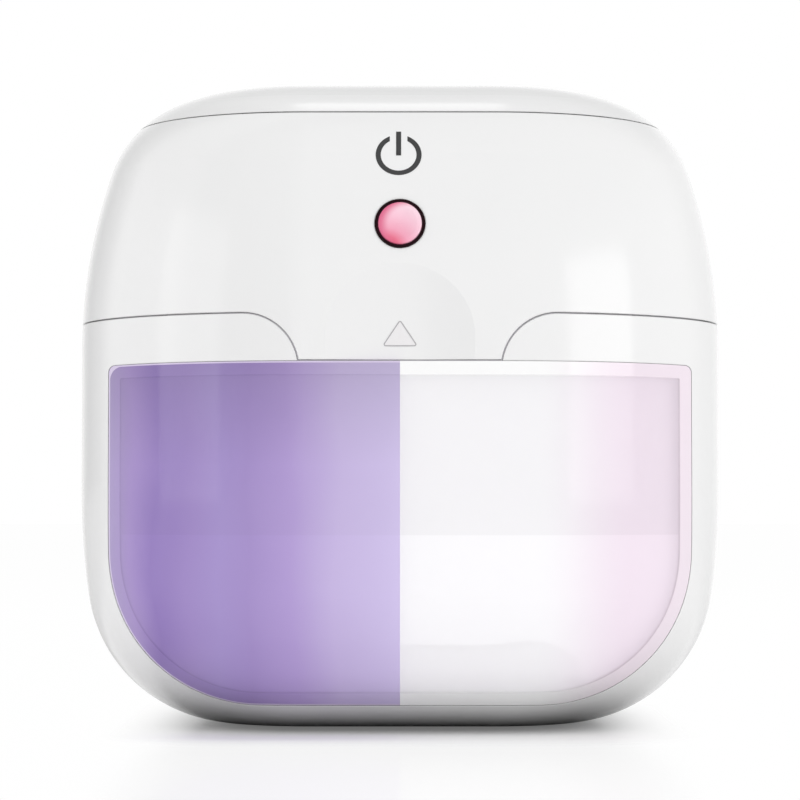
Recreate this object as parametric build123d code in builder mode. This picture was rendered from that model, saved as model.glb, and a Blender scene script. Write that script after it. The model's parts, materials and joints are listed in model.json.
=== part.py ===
from build123d import *
from math import asin, cos, radians, sin, sqrt
import os

# Pacifier sterilizer case: a rounded two-part box with a hinged lid. Millimetres, +Z up,
# front towards -Y, origin at the centre of the face that stands on the table.

# ---- Overall form ------------------------------------------------------------------------
WIDTH = 92.0  # left to right
DEPTH = 80.0  # front to back, without the hinge
HEIGHT = 91.0  # from the table to the crown
CORNER_R = 33.0  # plan radius of the four upright corners
FOOT_ARC_R = 21.5  # round of the lower edge
FLANK_R = 110.0  # slight bow of the base's sides above that round
FLANK_ANGLE = 8.0  # slope at which the bow passes into the round
DOME_RISE = 37.0  # height over which the walls close in to the crown
DOME_RUN = 23.6  # how far the walls draw in up to the flat crown
SIDE_ARC_R = 78.0  # slight bow of the lid's sides
SIDE_ARC_ANGLE = 19.0  # slope at which that bow passes into the shoulder
SHOULDER_ANGLE = 64.0  # slope at which the shoulder passes into the crown

# ---- Seams and walls ---------------------------------------------------------------------
LID_HEIGHT = 33.6  # from the lid seam to the crown
SEAM_GAP = 0.2  # open joint between lid and base
CAP_HEIGHT = 5.6  # from the top cover's seam to the crown
CAP_GAP = 0.15
BASE_WALL = 2.6
LID_WALL = 2.2
CAP_WALL = 2.0
SKIRT_T = 1.3  # upright skirt of the top cover, inside the lid's upper rim
SKIRT_DROP = 2.7  # how far it reaches below the cover's seam
SKIRT_BITE = 1.0  # how deep it is rooted in the cover's wall
LUG_L = 10.0  # snap lugs on the skirt, which catch under the lid's rim
LUG_H = 1.0
LUG_PROUD = 0.6
LUG_DROP = 0.5  # top of the lugs below the cover's seam
SEAT_CLEAR = 0.15  # between a fitted piece and the wall around it
RUN_CLEAR = 0.3  # between pieces that move past each other

# ---- Tab and finger dimple on the lid's front --------------------------------------------
TAB_HALF_W = 13.5
TAB_DROP = 6.45  # how far the tab hangs below the lid's edge
TAB_SHOULDER_R = 7.8  # flare of the tab into the seam
DIMPLE_DROP = 3.5  # its centre below the seam
DIMPLE_R = 10.1
DIMPLE_DEPTH = 1.0  # at its centre; its rim runs out flush with the lid's face
DIMPLE_UPRIGHT_R = 150.0  # radius of its upright section, which follows the bow of the lid's front
DIMPLE_HALF_SWEEP = 8.0  # half the angle that this section spans, degrees

# ---- Window ------------------------------------------------------------------------------
WINDOW_JAMB = 5.5  # width of the shell beside the window, in front view
WINDOW_BOTTOM_Z = 4.1
WINDOW_LOWER_R = 21.0
WINDOW_UPPER_R = 1.0
PANE_T = 1.4
PANE_CLEAR = 0.05
LEDGE_W = 1.0  # seat that the pane's edge is bonded to

# ---- Chamber -----------------------------------------------------------------------------
LINER_CLEAR = 0.3  # between the base's wall and the liner
LINER_T = 1.2
COLLAR_RISE = 1.6  # rim of the liner above the lid seam
REFLECTOR_T = 0.6
REFLECTOR_SIDE_GAP = 19.0  # from the case's sides, front and rear
REFLECTOR_FRONT_GAP = 18.0
REFLECTOR_REAR_GAP = 11.0
REFLECTOR_CORNER_R = 10.0

# ---- Foot --------------------------------------------------------------------------------
FOOT_PROUD = 0.4  # pad below the base's underside
FOOT_T = 1.2
FOOT_W = 38.0
FOOT_D = 26.0
FOOT_CORNER_R = 6.0

# ---- Hinge at the rear -------------------------------------------------------------------
HINGE_INSET = 0.4  # axis ahead of the rear face
KNUCKLE_R = 2.2
KNUCKLE_RELIEF = 0.4
PIN_R = 1.0
PIN_RUN_CLEAR = 0.05
LID_KNUCKLE_HALF = 13.2
BASE_KNUCKLE_L = 6.2
PIN_SHORT = 0.2  # each end of the pin below its knuckle's face

# ---- Lid's inner plate, gasket and lamp windows ------------------------------------------
GASKET_T = 1.1
GASKET_W = 1.9
GASKET_SEAT = 0.6  # depth of the rebate that holds it
PLATE_T = 1.6
RECESS_MARGIN = 18.0  # from the case's outline to the recess
RECESS_RISE = 5.0
RECESS_WALL = 1.4
RECESS_CORNER_R = 6.0
RECESS_EDGE_R = 1.0
LAMP_X = 12.0
LENS_R = 4.5
LENS_LIP = 0.8  # ledge of the roof under each lens
LENS_LIP_T = 0.4

# ---- Boards and what they carry ----------------------------------------------------------
BOARD_T = 1.4
BOSS_R = 2.6
BOSS_LENGTH = 9.4
BOSS_RADIAL = 22.5  # from the plan centre of each corner
BOSS_RIB_T = 1.4
BOSS_RIB_L = 12.0
SCREW_R = 0.9
SCREW_HEAD_R = 1.8
SCREW_HEAD_T = 0.8
SCREW_CLEAR = 0.1
SCREW_BITE = 4.0  # length of thread in its boss
SCREW_SOCKET_SHARE = 0.47  # of the head's radius
SCREW_SOCKET_DEPTH = 0.5
STANDOFF_R = 2.0
MAIN_BOARD_EDGE = 4.5  # from the screws to the board's edge
MAIN_BOARD_CORNER_R = 9.0
LAMP_BOARD_END = 7.0  # from the lamps to the board's ends
LAMP_BOARD_EDGE = 3.5  # from its screws to its long edges
LAMP_BOARD_CORNER_R = 1.4
LAMP_BOARD_RISE = 1.2  # its standoffs above the recess's roof
LAMP_SCREW_Y = 6.5
LAMP_SCREW_BITE = 1.9
LAMP_W = 3.5
LAMP_T = 1.0
LAMP_CUP_R = 1.2
LAMP_CUP_DEPTH = 0.25
BATTERY_W = 44.0
BATTERY_D = 32.0
BATTERY_T = 5.5
BATTERY_EDGE_R = 1.4
BATTERY_Y = -6.0
BATTERY_PAD_T = 0.4
BATTERY_PAD_MARGIN = 4.0
CHIP_W = 7.0
CHIP_T = 1.0
CHIP_CHAMFER = 0.2
CHIP_AT = (-16.0, 19.0)
SOCKET_W = 8.9
SOCKET_H = 3.2
SOCKET_L = 8.6
SOCKET_WALL = 0.3
SOCKET_RECESS = 1.2  # its mouth behind the lid's rear face
SOCKET_OVERHANG = 5.2  # its mouth beyond the main board's rear edge
SOCKET_TONGUE_W = 6.6
SOCKET_TONGUE_T = 0.7
SENSOR_W = 4.0
SENSOR_D = 3.0
SENSOR_T = 1.5
SENSOR_EDGE_R = 0.4
SENSOR_RADIAL = 25.5  # from the plan centre of its corner, beside the left latch magnet

# ---- Magnets -----------------------------------------------------------------------------
MAGNET_ANGLE = 32.0  # round each front corner, from straight ahead
MAGNET_W = 6.0
MAGNET_H = 3.0
MAGNET_T = 1.0
MAGNET_CLEAR = 0.1
POCKET_BREAK = 0.6  # how far the magnets' pockets are cut in front of the wall's inner face

# ---- Power button, along its own axis, depths from the lid's face --------------------------
BUTTON_RISE = 12.1  # its centre above the lid seam
BUTTON_R = 2.95
BUTTON_PROUD = 0.35
BUTTON_EDGE_R = 0.25
BUTTON_DISH_R = 2.3
BUTTON_DISH_DEPTH = 0.3
BUTTON_TRAVEL = 0.6
BUTTON_FLANGE_R = 3.8
BUTTON_FLANGE_T = 0.6
RING_R = 3.4
RING_PROUD = 0.15
RING_BORE_CLEAR = 0.1
RING_FLANGE_R = 4.2
RING_FLANGE_T = 0.55
RING_HOLE_CLEAR = 0.05
FLANGE_CLEAR = 0.1
PLUNGER_R = 0.9
PLUNGER_L = 2.0
PLUNGER_BORE_CLEAR = 0.2
SWITCH_W = 6.0
SWITCH_T = 2.4
SWITCH_BEHIND = 0.9  # its face behind the button's flange
BUTTON_BOARD_H = 9.0
BUTTON_BOARD_T = 1.2
BUTTON_BOARD_CORNER_R = 1.2
BUTTON_BOARD_END = 2.0  # from its screws to its ends
BUTTON_POST_X = 8.0
BUTTON_POST_R = 1.6
BUTTON_SCREW_R = 0.7
BUTTON_SCREW_HEAD_R = 1.3
GLOW_LED_W = 3.0
GLOW_LED_H = 1.2
GLOW_LED_T = 0.8

# ---- Values that follow -------------------------------------------------------------------
CORNER_X = WIDTH / 2 - CORNER_R
CORNER_Y = DEPTH / 2 - CORNER_R
WINDOW_HALF_W = WIDTH / 2 - WINDOW_JAMB
SIDE_TOP_Z = HEIGHT - DOME_RISE
SEAM_Z = HEIGHT - LID_HEIGHT
BASE_TOP_Z = SEAM_Z - SEAM_GAP / 2
LID_BOTTOM_Z = SEAM_Z + SEAM_GAP / 2
CAP_SEAM_Z = HEIGHT - CAP_HEIGHT
TAB_BOTTOM_Z = LID_BOTTOM_Z - TAB_DROP
WINDOW_TOP_Z = TAB_BOTTOM_Z - SEAM_GAP
LINER_INSET = BASE_WALL + LINER_CLEAR
LINER_INNER_INSET = LINER_INSET + LINER_T
REFLECTOR_INSET = LINER_INNER_INSET + SEAT_CLEAR
REFLECTOR_HALF_W = WIDTH / 2 - REFLECTOR_SIDE_GAP
REFLECTOR_FRONT = DEPTH / 2 - REFLECTOR_FRONT_GAP
REFLECTOR_REAR = DEPTH / 2 - REFLECTOR_REAR_GAP
COLLAR_TOP_Z = SEAM_Z + COLLAR_RISE
GASKET_Z = COLLAR_TOP_Z + RUN_CLEAR
PLATE_Z = GASKET_Z + GASKET_T - GASKET_SEAT
PLATE_TOP_Z = PLATE_Z + PLATE_T
PLATE_INSET = LID_WALL + RUN_CLEAR
GASKET_INSET = LID_WALL + SEAT_CLEAR
RECESS_W, RECESS_D = WIDTH - 2 * RECESS_MARGIN, DEPTH - 2 * RECESS_MARGIN
ROOF_TOP_Z = PLATE_TOP_Z + RECESS_RISE
LENS_T = RECESS_WALL - LENS_LIP_T
LAMP_BOARD_Z = ROOF_TOP_Z + LAMP_BOARD_RISE
MAIN_BOARD_Z = PLATE_TOP_Z + BOSS_LENGTH
MAIN_BOARD_TOP_Z = MAIN_BOARD_Z + BOARD_T
HINGE_Y = DEPTH / 2 - HINGE_INSET
HINGE_Z = SEAM_Z
BASE_KNUCKLE_X = LID_KNUCKLE_HALF + RUN_CLEAR
HINGE_HALF_L = BASE_KNUCKLE_X + BASE_KNUCKLE_L
BOSS_STEP = BOSS_RADIAL * sin(radians(45))
BOSS_POINTS = [
    (side * (CORNER_X + BOSS_STEP), end * (CORNER_Y + BOSS_STEP)) for side in (-1, 1) for end in (-1, 1)
]
MAIN_BOARD_HALF_W = CORNER_X + BOSS_STEP + MAIN_BOARD_EDGE
MAIN_BOARD_FRONT = CORNER_Y + BOSS_STEP + MAIN_BOARD_EDGE
LAMP_BOARD_W, LAMP_BOARD_D = 2 * (LAMP_X + LAMP_BOARD_END), 2 * (LAMP_SCREW_Y + LAMP_BOARD_EDGE)
BUTTON_BOARD_W = 2 * (BUTTON_POST_X + BUTTON_BOARD_END)
RING_FLANGE_DEPTH = LID_WALL + SEAT_CLEAR
FLANGE_DEPTH = RING_FLANGE_DEPTH + RING_FLANGE_T + FLANGE_CLEAR
FLANGE_BACK = FLANGE_DEPTH + BUTTON_FLANGE_T
SWITCH_DEPTH = FLANGE_BACK + SWITCH_BEHIND
BUTTON_BOARD_DEPTH = SWITCH_DEPTH + SWITCH_T


def dome_radii():
    """Radii of the shoulder and crown arcs, which meet their neighbours without a corner."""
    side_cos, side_sin = cos(radians(SIDE_ARC_ANGLE)), sin(radians(SIDE_ARC_ANGLE))
    top_cos, top_sin = cos(radians(SHOULDER_ANGLE)), sin(radians(SHOULDER_ANGLE))
    run = SIDE_ARC_R * (1 - side_cos) - DOME_RUN
    rise = DOME_RISE - SIDE_ARC_R * side_sin
    scale = (top_cos - side_cos) * (1 - top_sin) + top_cos * (top_sin - side_sin)
    shoulder = (run * (1 - top_sin) + rise * top_cos) / scale
    crown = ((top_cos - side_cos) * rise - (top_sin - side_sin) * run) / scale
    return shoulder, crown


SHOULDER_R, CROWN_R = dome_radii()

# Arcs of the outer form's section about a corner's upright axis, each tangent to its neighbours.
FOOT_CENTRE = Vector(CORNER_R - FLANK_R, FOOT_PROUD + FOOT_ARC_R) + Vector(
    (FLANK_R - FOOT_ARC_R) * cos(radians(FLANK_ANGLE)), 0
)
FLANK_CENTRE = FOOT_CENTRE + Vector(FOOT_ARC_R - FLANK_R, 0).rotate(Axis.Z, -FLANK_ANGLE)
SIDE_CENTRE = Vector(CORNER_R - SIDE_ARC_R, SIDE_TOP_Z)
SHOULDER_CENTRE = SIDE_CENTRE + Vector(SIDE_ARC_R - SHOULDER_R, 0).rotate(Axis.Z, SIDE_ARC_ANGLE)
CROWN_CENTRE = SHOULDER_CENTRE + Vector(SHOULDER_R - CROWN_R, 0).rotate(Axis.Z, SHOULDER_ANGLE)


def plan_radius(z, inset=0):
    """Plan radius about a corner's axis at height z, on the form moved inwards by inset."""
    centre, radius = CROWN_CENTRE, CROWN_R - inset
    if z < SHOULDER_CENTRE.Y + (SHOULDER_R - inset) * sin(radians(SHOULDER_ANGLE)):
        centre, radius = SHOULDER_CENTRE, SHOULDER_R - inset
    if z < SIDE_CENTRE.Y + (SIDE_ARC_R - inset) * sin(radians(SIDE_ARC_ANGLE)):
        centre, radius = SIDE_CENTRE, SIDE_ARC_R - inset
    return centre.X + sqrt(radius**2 - (z - centre.Y) ** 2)


def front_plane(z):
    """Plane that lies on the lid's front face at height z and looks outwards."""
    lean = asin((z - SIDE_CENTRE.Y) / SIDE_ARC_R)
    return Plane(
        origin=(0, -CORNER_Y - plan_radius(z), z),
        x_dir=(1, 0, 0),
        z_dir=(0, -cos(lean), sin(lean)),
    )


def case_section(inset):
    """Section of the outer form from a corner's axis outwards, moved inwards by inset."""
    with BuildSketch() as section:
        with BuildLine():
            lower = CenterArc(FOOT_CENTRE, FOOT_ARC_R - inset, -90, 90 - FLANK_ANGLE)
            flank = CenterArc(FLANK_CENTRE, FLANK_R - inset, -FLANK_ANGLE, FLANK_ANGLE)
            Line(flank @ 1, (CORNER_R - inset, SIDE_TOP_Z))
            CenterArc(SIDE_CENTRE, SIDE_ARC_R - inset, 0, SIDE_ARC_ANGLE)
            CenterArc(SHOULDER_CENTRE, SHOULDER_R - inset, SIDE_ARC_ANGLE, SHOULDER_ANGLE - SIDE_ARC_ANGLE)
            crest = CenterArc(CROWN_CENTRE, CROWN_R - inset, SHOULDER_ANGLE, 90 - SHOULDER_ANGLE)
            Polyline(crest @ 1, (0, HEIGHT - inset), (0, FOOT_PROUD + inset), lower @ 0)
        make_face()
    return section.sketch


def case_form(inset):
    """Solid with the case's outer form, moved inwards by inset all round."""
    section = case_section(inset)
    with BuildPart() as form:
        with Locations((0, 0, FOOT_PROUD + inset)):
            Box(
                2 * CORNER_X,
                2 * CORNER_Y,
                HEIGHT - FOOT_PROUD - 2 * inset,
                align=(Align.CENTER, Align.CENTER, Align.MIN),
            )
        corners = [(1, 1), (-1, 1), (-1, -1), (1, -1)]
        for quarter, (side, end) in enumerate(corners):
            outwards = Vector(1, 0).rotate(Axis.Z, 90 * quarter)
            centre = Vector(side * CORNER_X, end * CORNER_Y)
            corner_plane = Plane(origin=centre, x_dir=outwards, z_dir=outwards.rotate(Axis.Z, -90))
            with BuildSketch(corner_plane):
                add(section)
            extrude(amount=2 * (CORNER_X if quarter % 2 else CORNER_Y))
            with BuildSketch(corner_plane):
                add(section)
            revolve(axis=Axis(centre, (0, 0, 1)), revolution_arc=90)
    return form.part


def between(form, low, high, hollow=None):
    """Slice of a form between two levels, less a hollow if there is one."""
    with BuildPart() as level:
        add(form)
        if hollow:
            add(hollow, mode=Mode.SUBTRACT)
        split(bisect_by=Plane.XY.offset(low), keep=Keep.TOP)
        split(bisect_by=Plane.XY.offset(high), keep=Keep.BOTTOM)
    return level.part


def window_prism(grow):
    """Window's outline in front view, grown by grow, carried back to the middle of the case."""
    with BuildPart() as prism:
        with BuildSketch(Plane.XZ) as outline:
            with Locations((0, WINDOW_BOTTOM_Z - grow)):
                Rectangle(
                    2 * (WINDOW_HALF_W + grow),
                    WINDOW_TOP_Z - WINDOW_BOTTOM_Z + 2 * grow,
                    align=(Align.CENTER, Align.MIN),
                )
            fillet(outline.vertices().group_by(Axis.Y)[0], WINDOW_LOWER_R + grow)
            fillet(outline.vertices().group_by(Axis.Y)[-1], WINDOW_UPPER_R)
        extrude(amount=DEPTH)
    return prism.part


def tab_prism(gap):
    """Lid's tab in front view, grown by gap; its sides flare out to the seam."""
    flare_x = TAB_HALF_W + TAB_SHOULDER_R
    with BuildPart() as prism:
        with BuildSketch(Plane.XZ):
            with Locations((0, TAB_BOTTOM_Z - gap)):
                Rectangle(2 * flare_x, TAB_DROP + gap, align=(Align.CENTER, Align.MIN))
            with Locations(*[(side * flare_x, LID_BOTTOM_Z - TAB_SHOULDER_R) for side in (-1, 1)]):
                Circle(TAB_SHOULDER_R - gap, mode=Mode.SUBTRACT)
        extrude(amount=DEPTH)
    return prism.part


def hinge_barrel(radius, start, length):
    """Cylinder on the hinge axis from x = start."""
    with BuildPart() as barrel:
        with BuildSketch(Plane.YZ.offset(start)):
            with Locations((HINGE_Y, HINGE_Z)):
                Circle(radius)
        extrude(amount=length)
    return barrel.part


def corner_magnets(inner, thickness, low, height, width):
    """A flat block in the wall at each front corner, inner being its nearer face's plan radius."""
    with BuildPart() as blocks:
        for side in (-1, 1):
            facing = Vector(0, -1).rotate(Axis.Z, side * MAGNET_ANGLE)
            seat = Plane(
                origin=Vector(side * CORNER_X, -CORNER_Y, low) + facing * inner,
                x_dir=facing.rotate(Axis.Z, 90),
                z_dir=facing,
            )
            with BuildSketch(seat):
                Rectangle(width, height, align=(Align.CENTER, Align.MIN))
            extrude(amount=thickness)
    return blocks.part


def screw_group(seat_planes, shank_r, head_r, head_t, length):
    """Screws with a hexagon socket, one on each plane, heads outwards and seated on it."""
    with BuildPart() as screws:
        for seat in seat_planes:
            with BuildSketch(seat):
                Circle(head_r)
            extrude(amount=head_t)
            with BuildSketch(seat):
                Circle(shank_r)
            extrude(amount=-length)
            with BuildSketch(seat.offset(head_t)):
                RegularPolygon(head_r * SCREW_SOCKET_SHARE, 6)
            extrude(amount=-SCREW_SOCKET_DEPTH, mode=Mode.SUBTRACT)
    return screws.part


def upward(points, z):
    """Planes that look up, one at each point."""
    return [Plane(origin=(x, y, z), z_dir=(0, 0, 1)) for x, y in points]


def downward(points, z):
    """Planes that look down, one at each point."""
    return [Plane(origin=(x, y, z), x_dir=(1, 0, 0), z_dir=(0, 0, -1)) for x, y in points]


# ---- Base shell: lower half of the case -------------------------------------------------
outer_form = case_form(0)
window_seat = case_form(PANE_T + PANE_CLEAR)
base_hollow = case_form(BASE_WALL)
pane_pocket_outline = window_prism(PANE_CLEAR)
window_opening = window_prism(-LEDGE_W)
tab_notch = tab_prism(SEAM_GAP)
base_wall = between(outer_form, 0, BASE_TOP_Z, base_hollow)
base_magnet_inner = CORNER_R - BASE_WALL
base_magnet_z = BASE_TOP_Z - MAGNET_CLEAR - MAGNET_H
base_magnet_pockets = corner_magnets(
    base_magnet_inner - POCKET_BREAK,
    MAGNET_T + MAGNET_CLEAR + POCKET_BREAK,
    base_magnet_z - MAGNET_CLEAR,
    MAGNET_H + 4 * MAGNET_CLEAR,
    MAGNET_W + 2 * MAGNET_CLEAR,
)
base_knuckles = [
    hinge_barrel(KNUCKLE_R, start, BASE_KNUCKLE_L) for start in (-HINGE_HALF_L, BASE_KNUCKLE_X)
]
lid_knuckle_relief = hinge_barrel(KNUCKLE_R + KNUCKLE_RELIEF, -BASE_KNUCKLE_X, 2 * BASE_KNUCKLE_X)
pin_bore = hinge_barrel(PIN_R, -HINGE_HALF_L, 2 * HINGE_HALF_L)

with BuildPart() as pane_pocket:
    add(outer_form)
    add(window_seat, mode=Mode.SUBTRACT)
    add(pane_pocket_outline, mode=Mode.INTERSECT)

with BuildPart() as base_shell:
    add(base_wall)
    for knuckle in base_knuckles:
        add(knuckle)
    add(lid_knuckle_relief, mode=Mode.SUBTRACT)
    add(pin_bore, mode=Mode.SUBTRACT)
    add(pane_pocket.part, mode=Mode.SUBTRACT)
    add(window_opening, mode=Mode.SUBTRACT)
    add(tab_notch, mode=Mode.SUBTRACT)
    add(base_magnet_pockets, mode=Mode.SUBTRACT)
    with BuildSketch(Plane.XY):
        RectangleRounded(FOOT_W, FOOT_D, FOOT_CORNER_R)
    extrude(amount=FOOT_T, mode=Mode.SUBTRACT)
base_shell.part.label = "base_shell"

# ---- Front window: a moulded pane that carries on the base's outer face -----------------
pane_inside = case_form(PANE_T)
pane_outline = window_prism(0)
with BuildPart() as front_window:
    add(outer_form)
    add(pane_inside, mode=Mode.SUBTRACT)
    add(pane_outline, mode=Mode.INTERSECT)
front_window.part.label = "front_window"

# ---- Chamber liner: a smooth tub whose rim stands up into the lid ------------------------
liner_outside, liner_inside = case_form(LINER_INSET), case_form(LINER_INNER_INSET)
liner_wall = between(liner_outside, 0, COLLAR_TOP_Z, liner_inside)
with BuildPart() as chamber_liner:
    add(liner_wall)
    add(window_opening, mode=Mode.SUBTRACT)
chamber_liner.part.label = "chamber_liner"

# ---- Floor reflector: a bright plate laid in the tub, its rear edge turned up ------------
reflector_outside, reflector_inside = case_form(REFLECTOR_INSET), case_form(REFLECTOR_INSET + REFLECTOR_T)
with BuildPart() as floor_reflector:
    add(reflector_outside)
    add(reflector_inside, mode=Mode.SUBTRACT)
    with BuildSketch(Plane.XY):
        with Locations((0, (REFLECTOR_REAR - REFLECTOR_FRONT) / 2)):
            RectangleRounded(
                2 * REFLECTOR_HALF_W, REFLECTOR_REAR + REFLECTOR_FRONT, REFLECTOR_CORNER_R
            )
    extrude(amount=FOOT_CENTRE.Y, mode=Mode.INTERSECT)
floor_reflector.part.label = "floor_reflector"

# ---- Foot pad ----------------------------------------------------------------------------
with BuildPart() as foot_pad:
    with BuildSketch(Plane.XY):
        RectangleRounded(FOOT_W, FOOT_D, FOOT_CORNER_R)
    extrude(amount=FOOT_T)
foot_pad.part.label = "foot_pad"

# ---- Hinge pin ---------------------------------------------------------------------------
with BuildPart() as hinge_pin:
    with BuildSketch(Plane.YZ.offset(PIN_SHORT - HINGE_HALF_L)):
        with Locations((HINGE_Y, HINGE_Z)):
            Circle(PIN_R)
    extrude(amount=2 * (HINGE_HALF_L - PIN_SHORT))
hinge_pin.part.label = "hinge_pin"

# ---- Latch magnets in the base -----------------------------------------------------------
base_magnet_blocks = corner_magnets(base_magnet_inner, MAGNET_T, base_magnet_z, MAGNET_H, MAGNET_W)
with BuildPart() as base_magnets:
    add(base_magnet_blocks)
base_magnets.part.label = "base_magnets"

# ---- Lid shell: the lid's walls, its tab, bosses and hinge knuckle -----------------------
button_plane = front_plane(SEAM_Z + BUTTON_RISE)
button_posts = [(side * BUTTON_POST_X, 0) for side in (-1, 1)]
lid_hollow = case_form(LID_WALL)
below_tab = tab_prism(0)
lid_knuckle = hinge_barrel(KNUCKLE_R, -LID_KNUCKLE_HALF, 2 * LID_KNUCKLE_HALF)
lid_pin_bore = hinge_barrel(PIN_R + PIN_RUN_CLEAR, -LID_KNUCKLE_HALF, 2 * LID_KNUCKLE_HALF)
base_knuckle_reliefs = [
    hinge_barrel(KNUCKLE_R + KNUCKLE_RELIEF, start, BASE_KNUCKLE_L + 2 * RUN_CLEAR)
    for start in (-HINGE_HALF_L - RUN_CLEAR, LID_KNUCKLE_HALF)
]
lid_magnet_inner = CORNER_R - LID_WALL
lid_magnet_z = LID_BOTTOM_Z + MAGNET_CLEAR
lid_magnet_pockets = corner_magnets(
    lid_magnet_inner - POCKET_BREAK,
    MAGNET_T + MAGNET_CLEAR + POCKET_BREAK,
    lid_magnet_z - 2 * MAGNET_CLEAR,
    MAGNET_H + 3 * MAGNET_CLEAR,
    MAGNET_W + 2 * MAGNET_CLEAR,
)
socket_z = MAIN_BOARD_TOP_Z + SOCKET_H / 2
socket_mouth_y = CORNER_Y + plan_radius(socket_z) - SOCKET_RECESS

with BuildPart() as lid_cavity:
    add(lid_hollow)
    with BuildSketch(Plane.XY.offset(PLATE_TOP_Z)):
        with Locations(*BOSS_POINTS):
            Circle(BOSS_R)
    extrude(amount=BOSS_LENGTH, mode=Mode.SUBTRACT)
    for x, y in BOSS_POINTS:
        with BuildSketch(Plane.XY.offset(PLATE_TOP_Z)):
            with Locations(Location((x, y), 45 if x * y > 0 else -45)):
                Rectangle(
                    BOSS_RIB_L,
                    BOSS_RIB_T,
                    align=(Align.MIN if x > 0 else Align.MAX, Align.CENTER),
                )
        extrude(amount=BOSS_LENGTH, mode=Mode.SUBTRACT)
    with BuildSketch(button_plane.offset(-BUTTON_BOARD_DEPTH)):
        with Locations(*button_posts):
            Circle(BUTTON_POST_R)
    extrude(amount=BUTTON_BOARD_DEPTH, mode=Mode.SUBTRACT)

with BuildPart() as below_lid:
    with Locations((0, 0, LID_BOTTOM_Z)):
        Box(2 * WIDTH, 2 * DEPTH, 2 * HEIGHT, align=(Align.CENTER, Align.CENTER, Align.MAX))
    add(below_tab, mode=Mode.SUBTRACT)

dimple_floor = front_plane(SEAM_Z - DIMPLE_DROP).origin + Vector(0, DIMPLE_DEPTH)
dimple_axis = Axis(dimple_floor - Vector(0, DIMPLE_UPRIGHT_R), (1, 0, 0))
dimple_across_r = (DIMPLE_R**2 + DIMPLE_DEPTH**2) / 2 / DIMPLE_DEPTH
with BuildPart() as dimple:
    with BuildSketch(Plane(dimple_axis.position).rotated((-DIMPLE_HALF_SWEEP, 0, 0))):
        with Locations((0, DIMPLE_UPRIGHT_R - dimple_across_r)):
            Circle(dimple_across_r)
        with Locations((0, DIMPLE_UPRIGHT_R)):
            Rectangle(4 * DIMPLE_R, 6 * DIMPLE_DEPTH, mode=Mode.INTERSECT)
    revolve(axis=dimple_axis, revolution_arc=2 * DIMPLE_HALF_SWEEP)

with BuildPart() as lid_shell:
    add(outer_form)
    add(lid_cavity.part, mode=Mode.SUBTRACT)
    split(bisect_by=Plane.XY.offset(CAP_SEAM_Z), keep=Keep.BOTTOM)
    add(below_lid.part, mode=Mode.SUBTRACT)
    for relief in base_knuckle_reliefs:
        add(relief, mode=Mode.SUBTRACT)
    add(lid_knuckle)
    add(lid_pin_bore, mode=Mode.SUBTRACT)
    add(lid_magnet_pockets, mode=Mode.SUBTRACT)
    add(dimple.part, mode=Mode.SUBTRACT)
    with BuildSketch(button_plane.offset(LID_WALL)):
        Circle(RING_R + RING_HOLE_CLEAR)
    extrude(amount=-LID_WALL - SWITCH_DEPTH, mode=Mode.SUBTRACT)
    with BuildSketch(button_plane.offset(-BUTTON_BOARD_DEPTH)):
        with Locations(*button_posts):
            Circle(BUTTON_SCREW_R)
    extrude(amount=BUTTON_BOARD_DEPTH - LID_WALL, mode=Mode.SUBTRACT)
    for pilot_z, reach in ((PLATE_TOP_Z, SCREW_BITE), (MAIN_BOARD_Z, -SCREW_BITE)):
        with BuildSketch(Plane.XY.offset(pilot_z)):
            with Locations(*BOSS_POINTS):
                Circle(SCREW_R)
        extrude(amount=reach, mode=Mode.SUBTRACT)
    with BuildSketch(Plane.XZ.offset(-socket_mouth_y - 2 * LID_WALL)):
        with Locations((0, socket_z)):
            SlotOverall(SOCKET_W + 2 * RUN_CLEAR, SOCKET_H + 2 * RUN_CLEAR)
    extrude(amount=4 * LID_WALL, mode=Mode.SUBTRACT)
lid_shell.part.label = "lid_shell"

# ---- Top cover: the crown, with a skirt and snap lugs inside the lid's upper rim ----------
cover_hollow, skirt_root = case_form(CAP_WALL), case_form(CAP_WALL - SKIRT_BITE)
cover_wall = between(outer_form, CAP_SEAM_Z + CAP_GAP, HEIGHT, cover_hollow)
skirt_r = plan_radius(CAP_SEAM_Z, LID_WALL) - SEAT_CLEAR
with BuildPart() as skirt:
    with BuildSketch(Plane.XY.offset(CAP_SEAM_Z - SKIRT_DROP)):
        RectangleRounded(2 * (CORNER_X + skirt_r), 2 * (CORNER_Y + skirt_r), skirt_r)
    extrude(amount=SKIRT_DROP + CAP_HEIGHT)
    with BuildSketch(Plane.XY.offset(CAP_SEAM_Z - LUG_DROP)):
        Rectangle(2 * (CORNER_X + skirt_r + LUG_PROUD), LUG_L)
        Rectangle(LUG_L, 2 * (CORNER_Y + skirt_r + LUG_PROUD))
    extrude(amount=-LUG_H)
    with BuildSketch(Plane.XY.offset(CAP_SEAM_Z - SKIRT_DROP)):
        RectangleRounded(
            2 * (CORNER_X + skirt_r - SKIRT_T), 2 * (CORNER_Y + skirt_r - SKIRT_T), skirt_r - SKIRT_T
        )
    extrude(amount=SKIRT_DROP + CAP_HEIGHT, mode=Mode.SUBTRACT)
    add(skirt_root, mode=Mode.INTERSECT)
with BuildPart() as top_cover:
    add(cover_wall)
    add(skirt.part)
top_cover.part.label = "top_cover"

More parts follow.
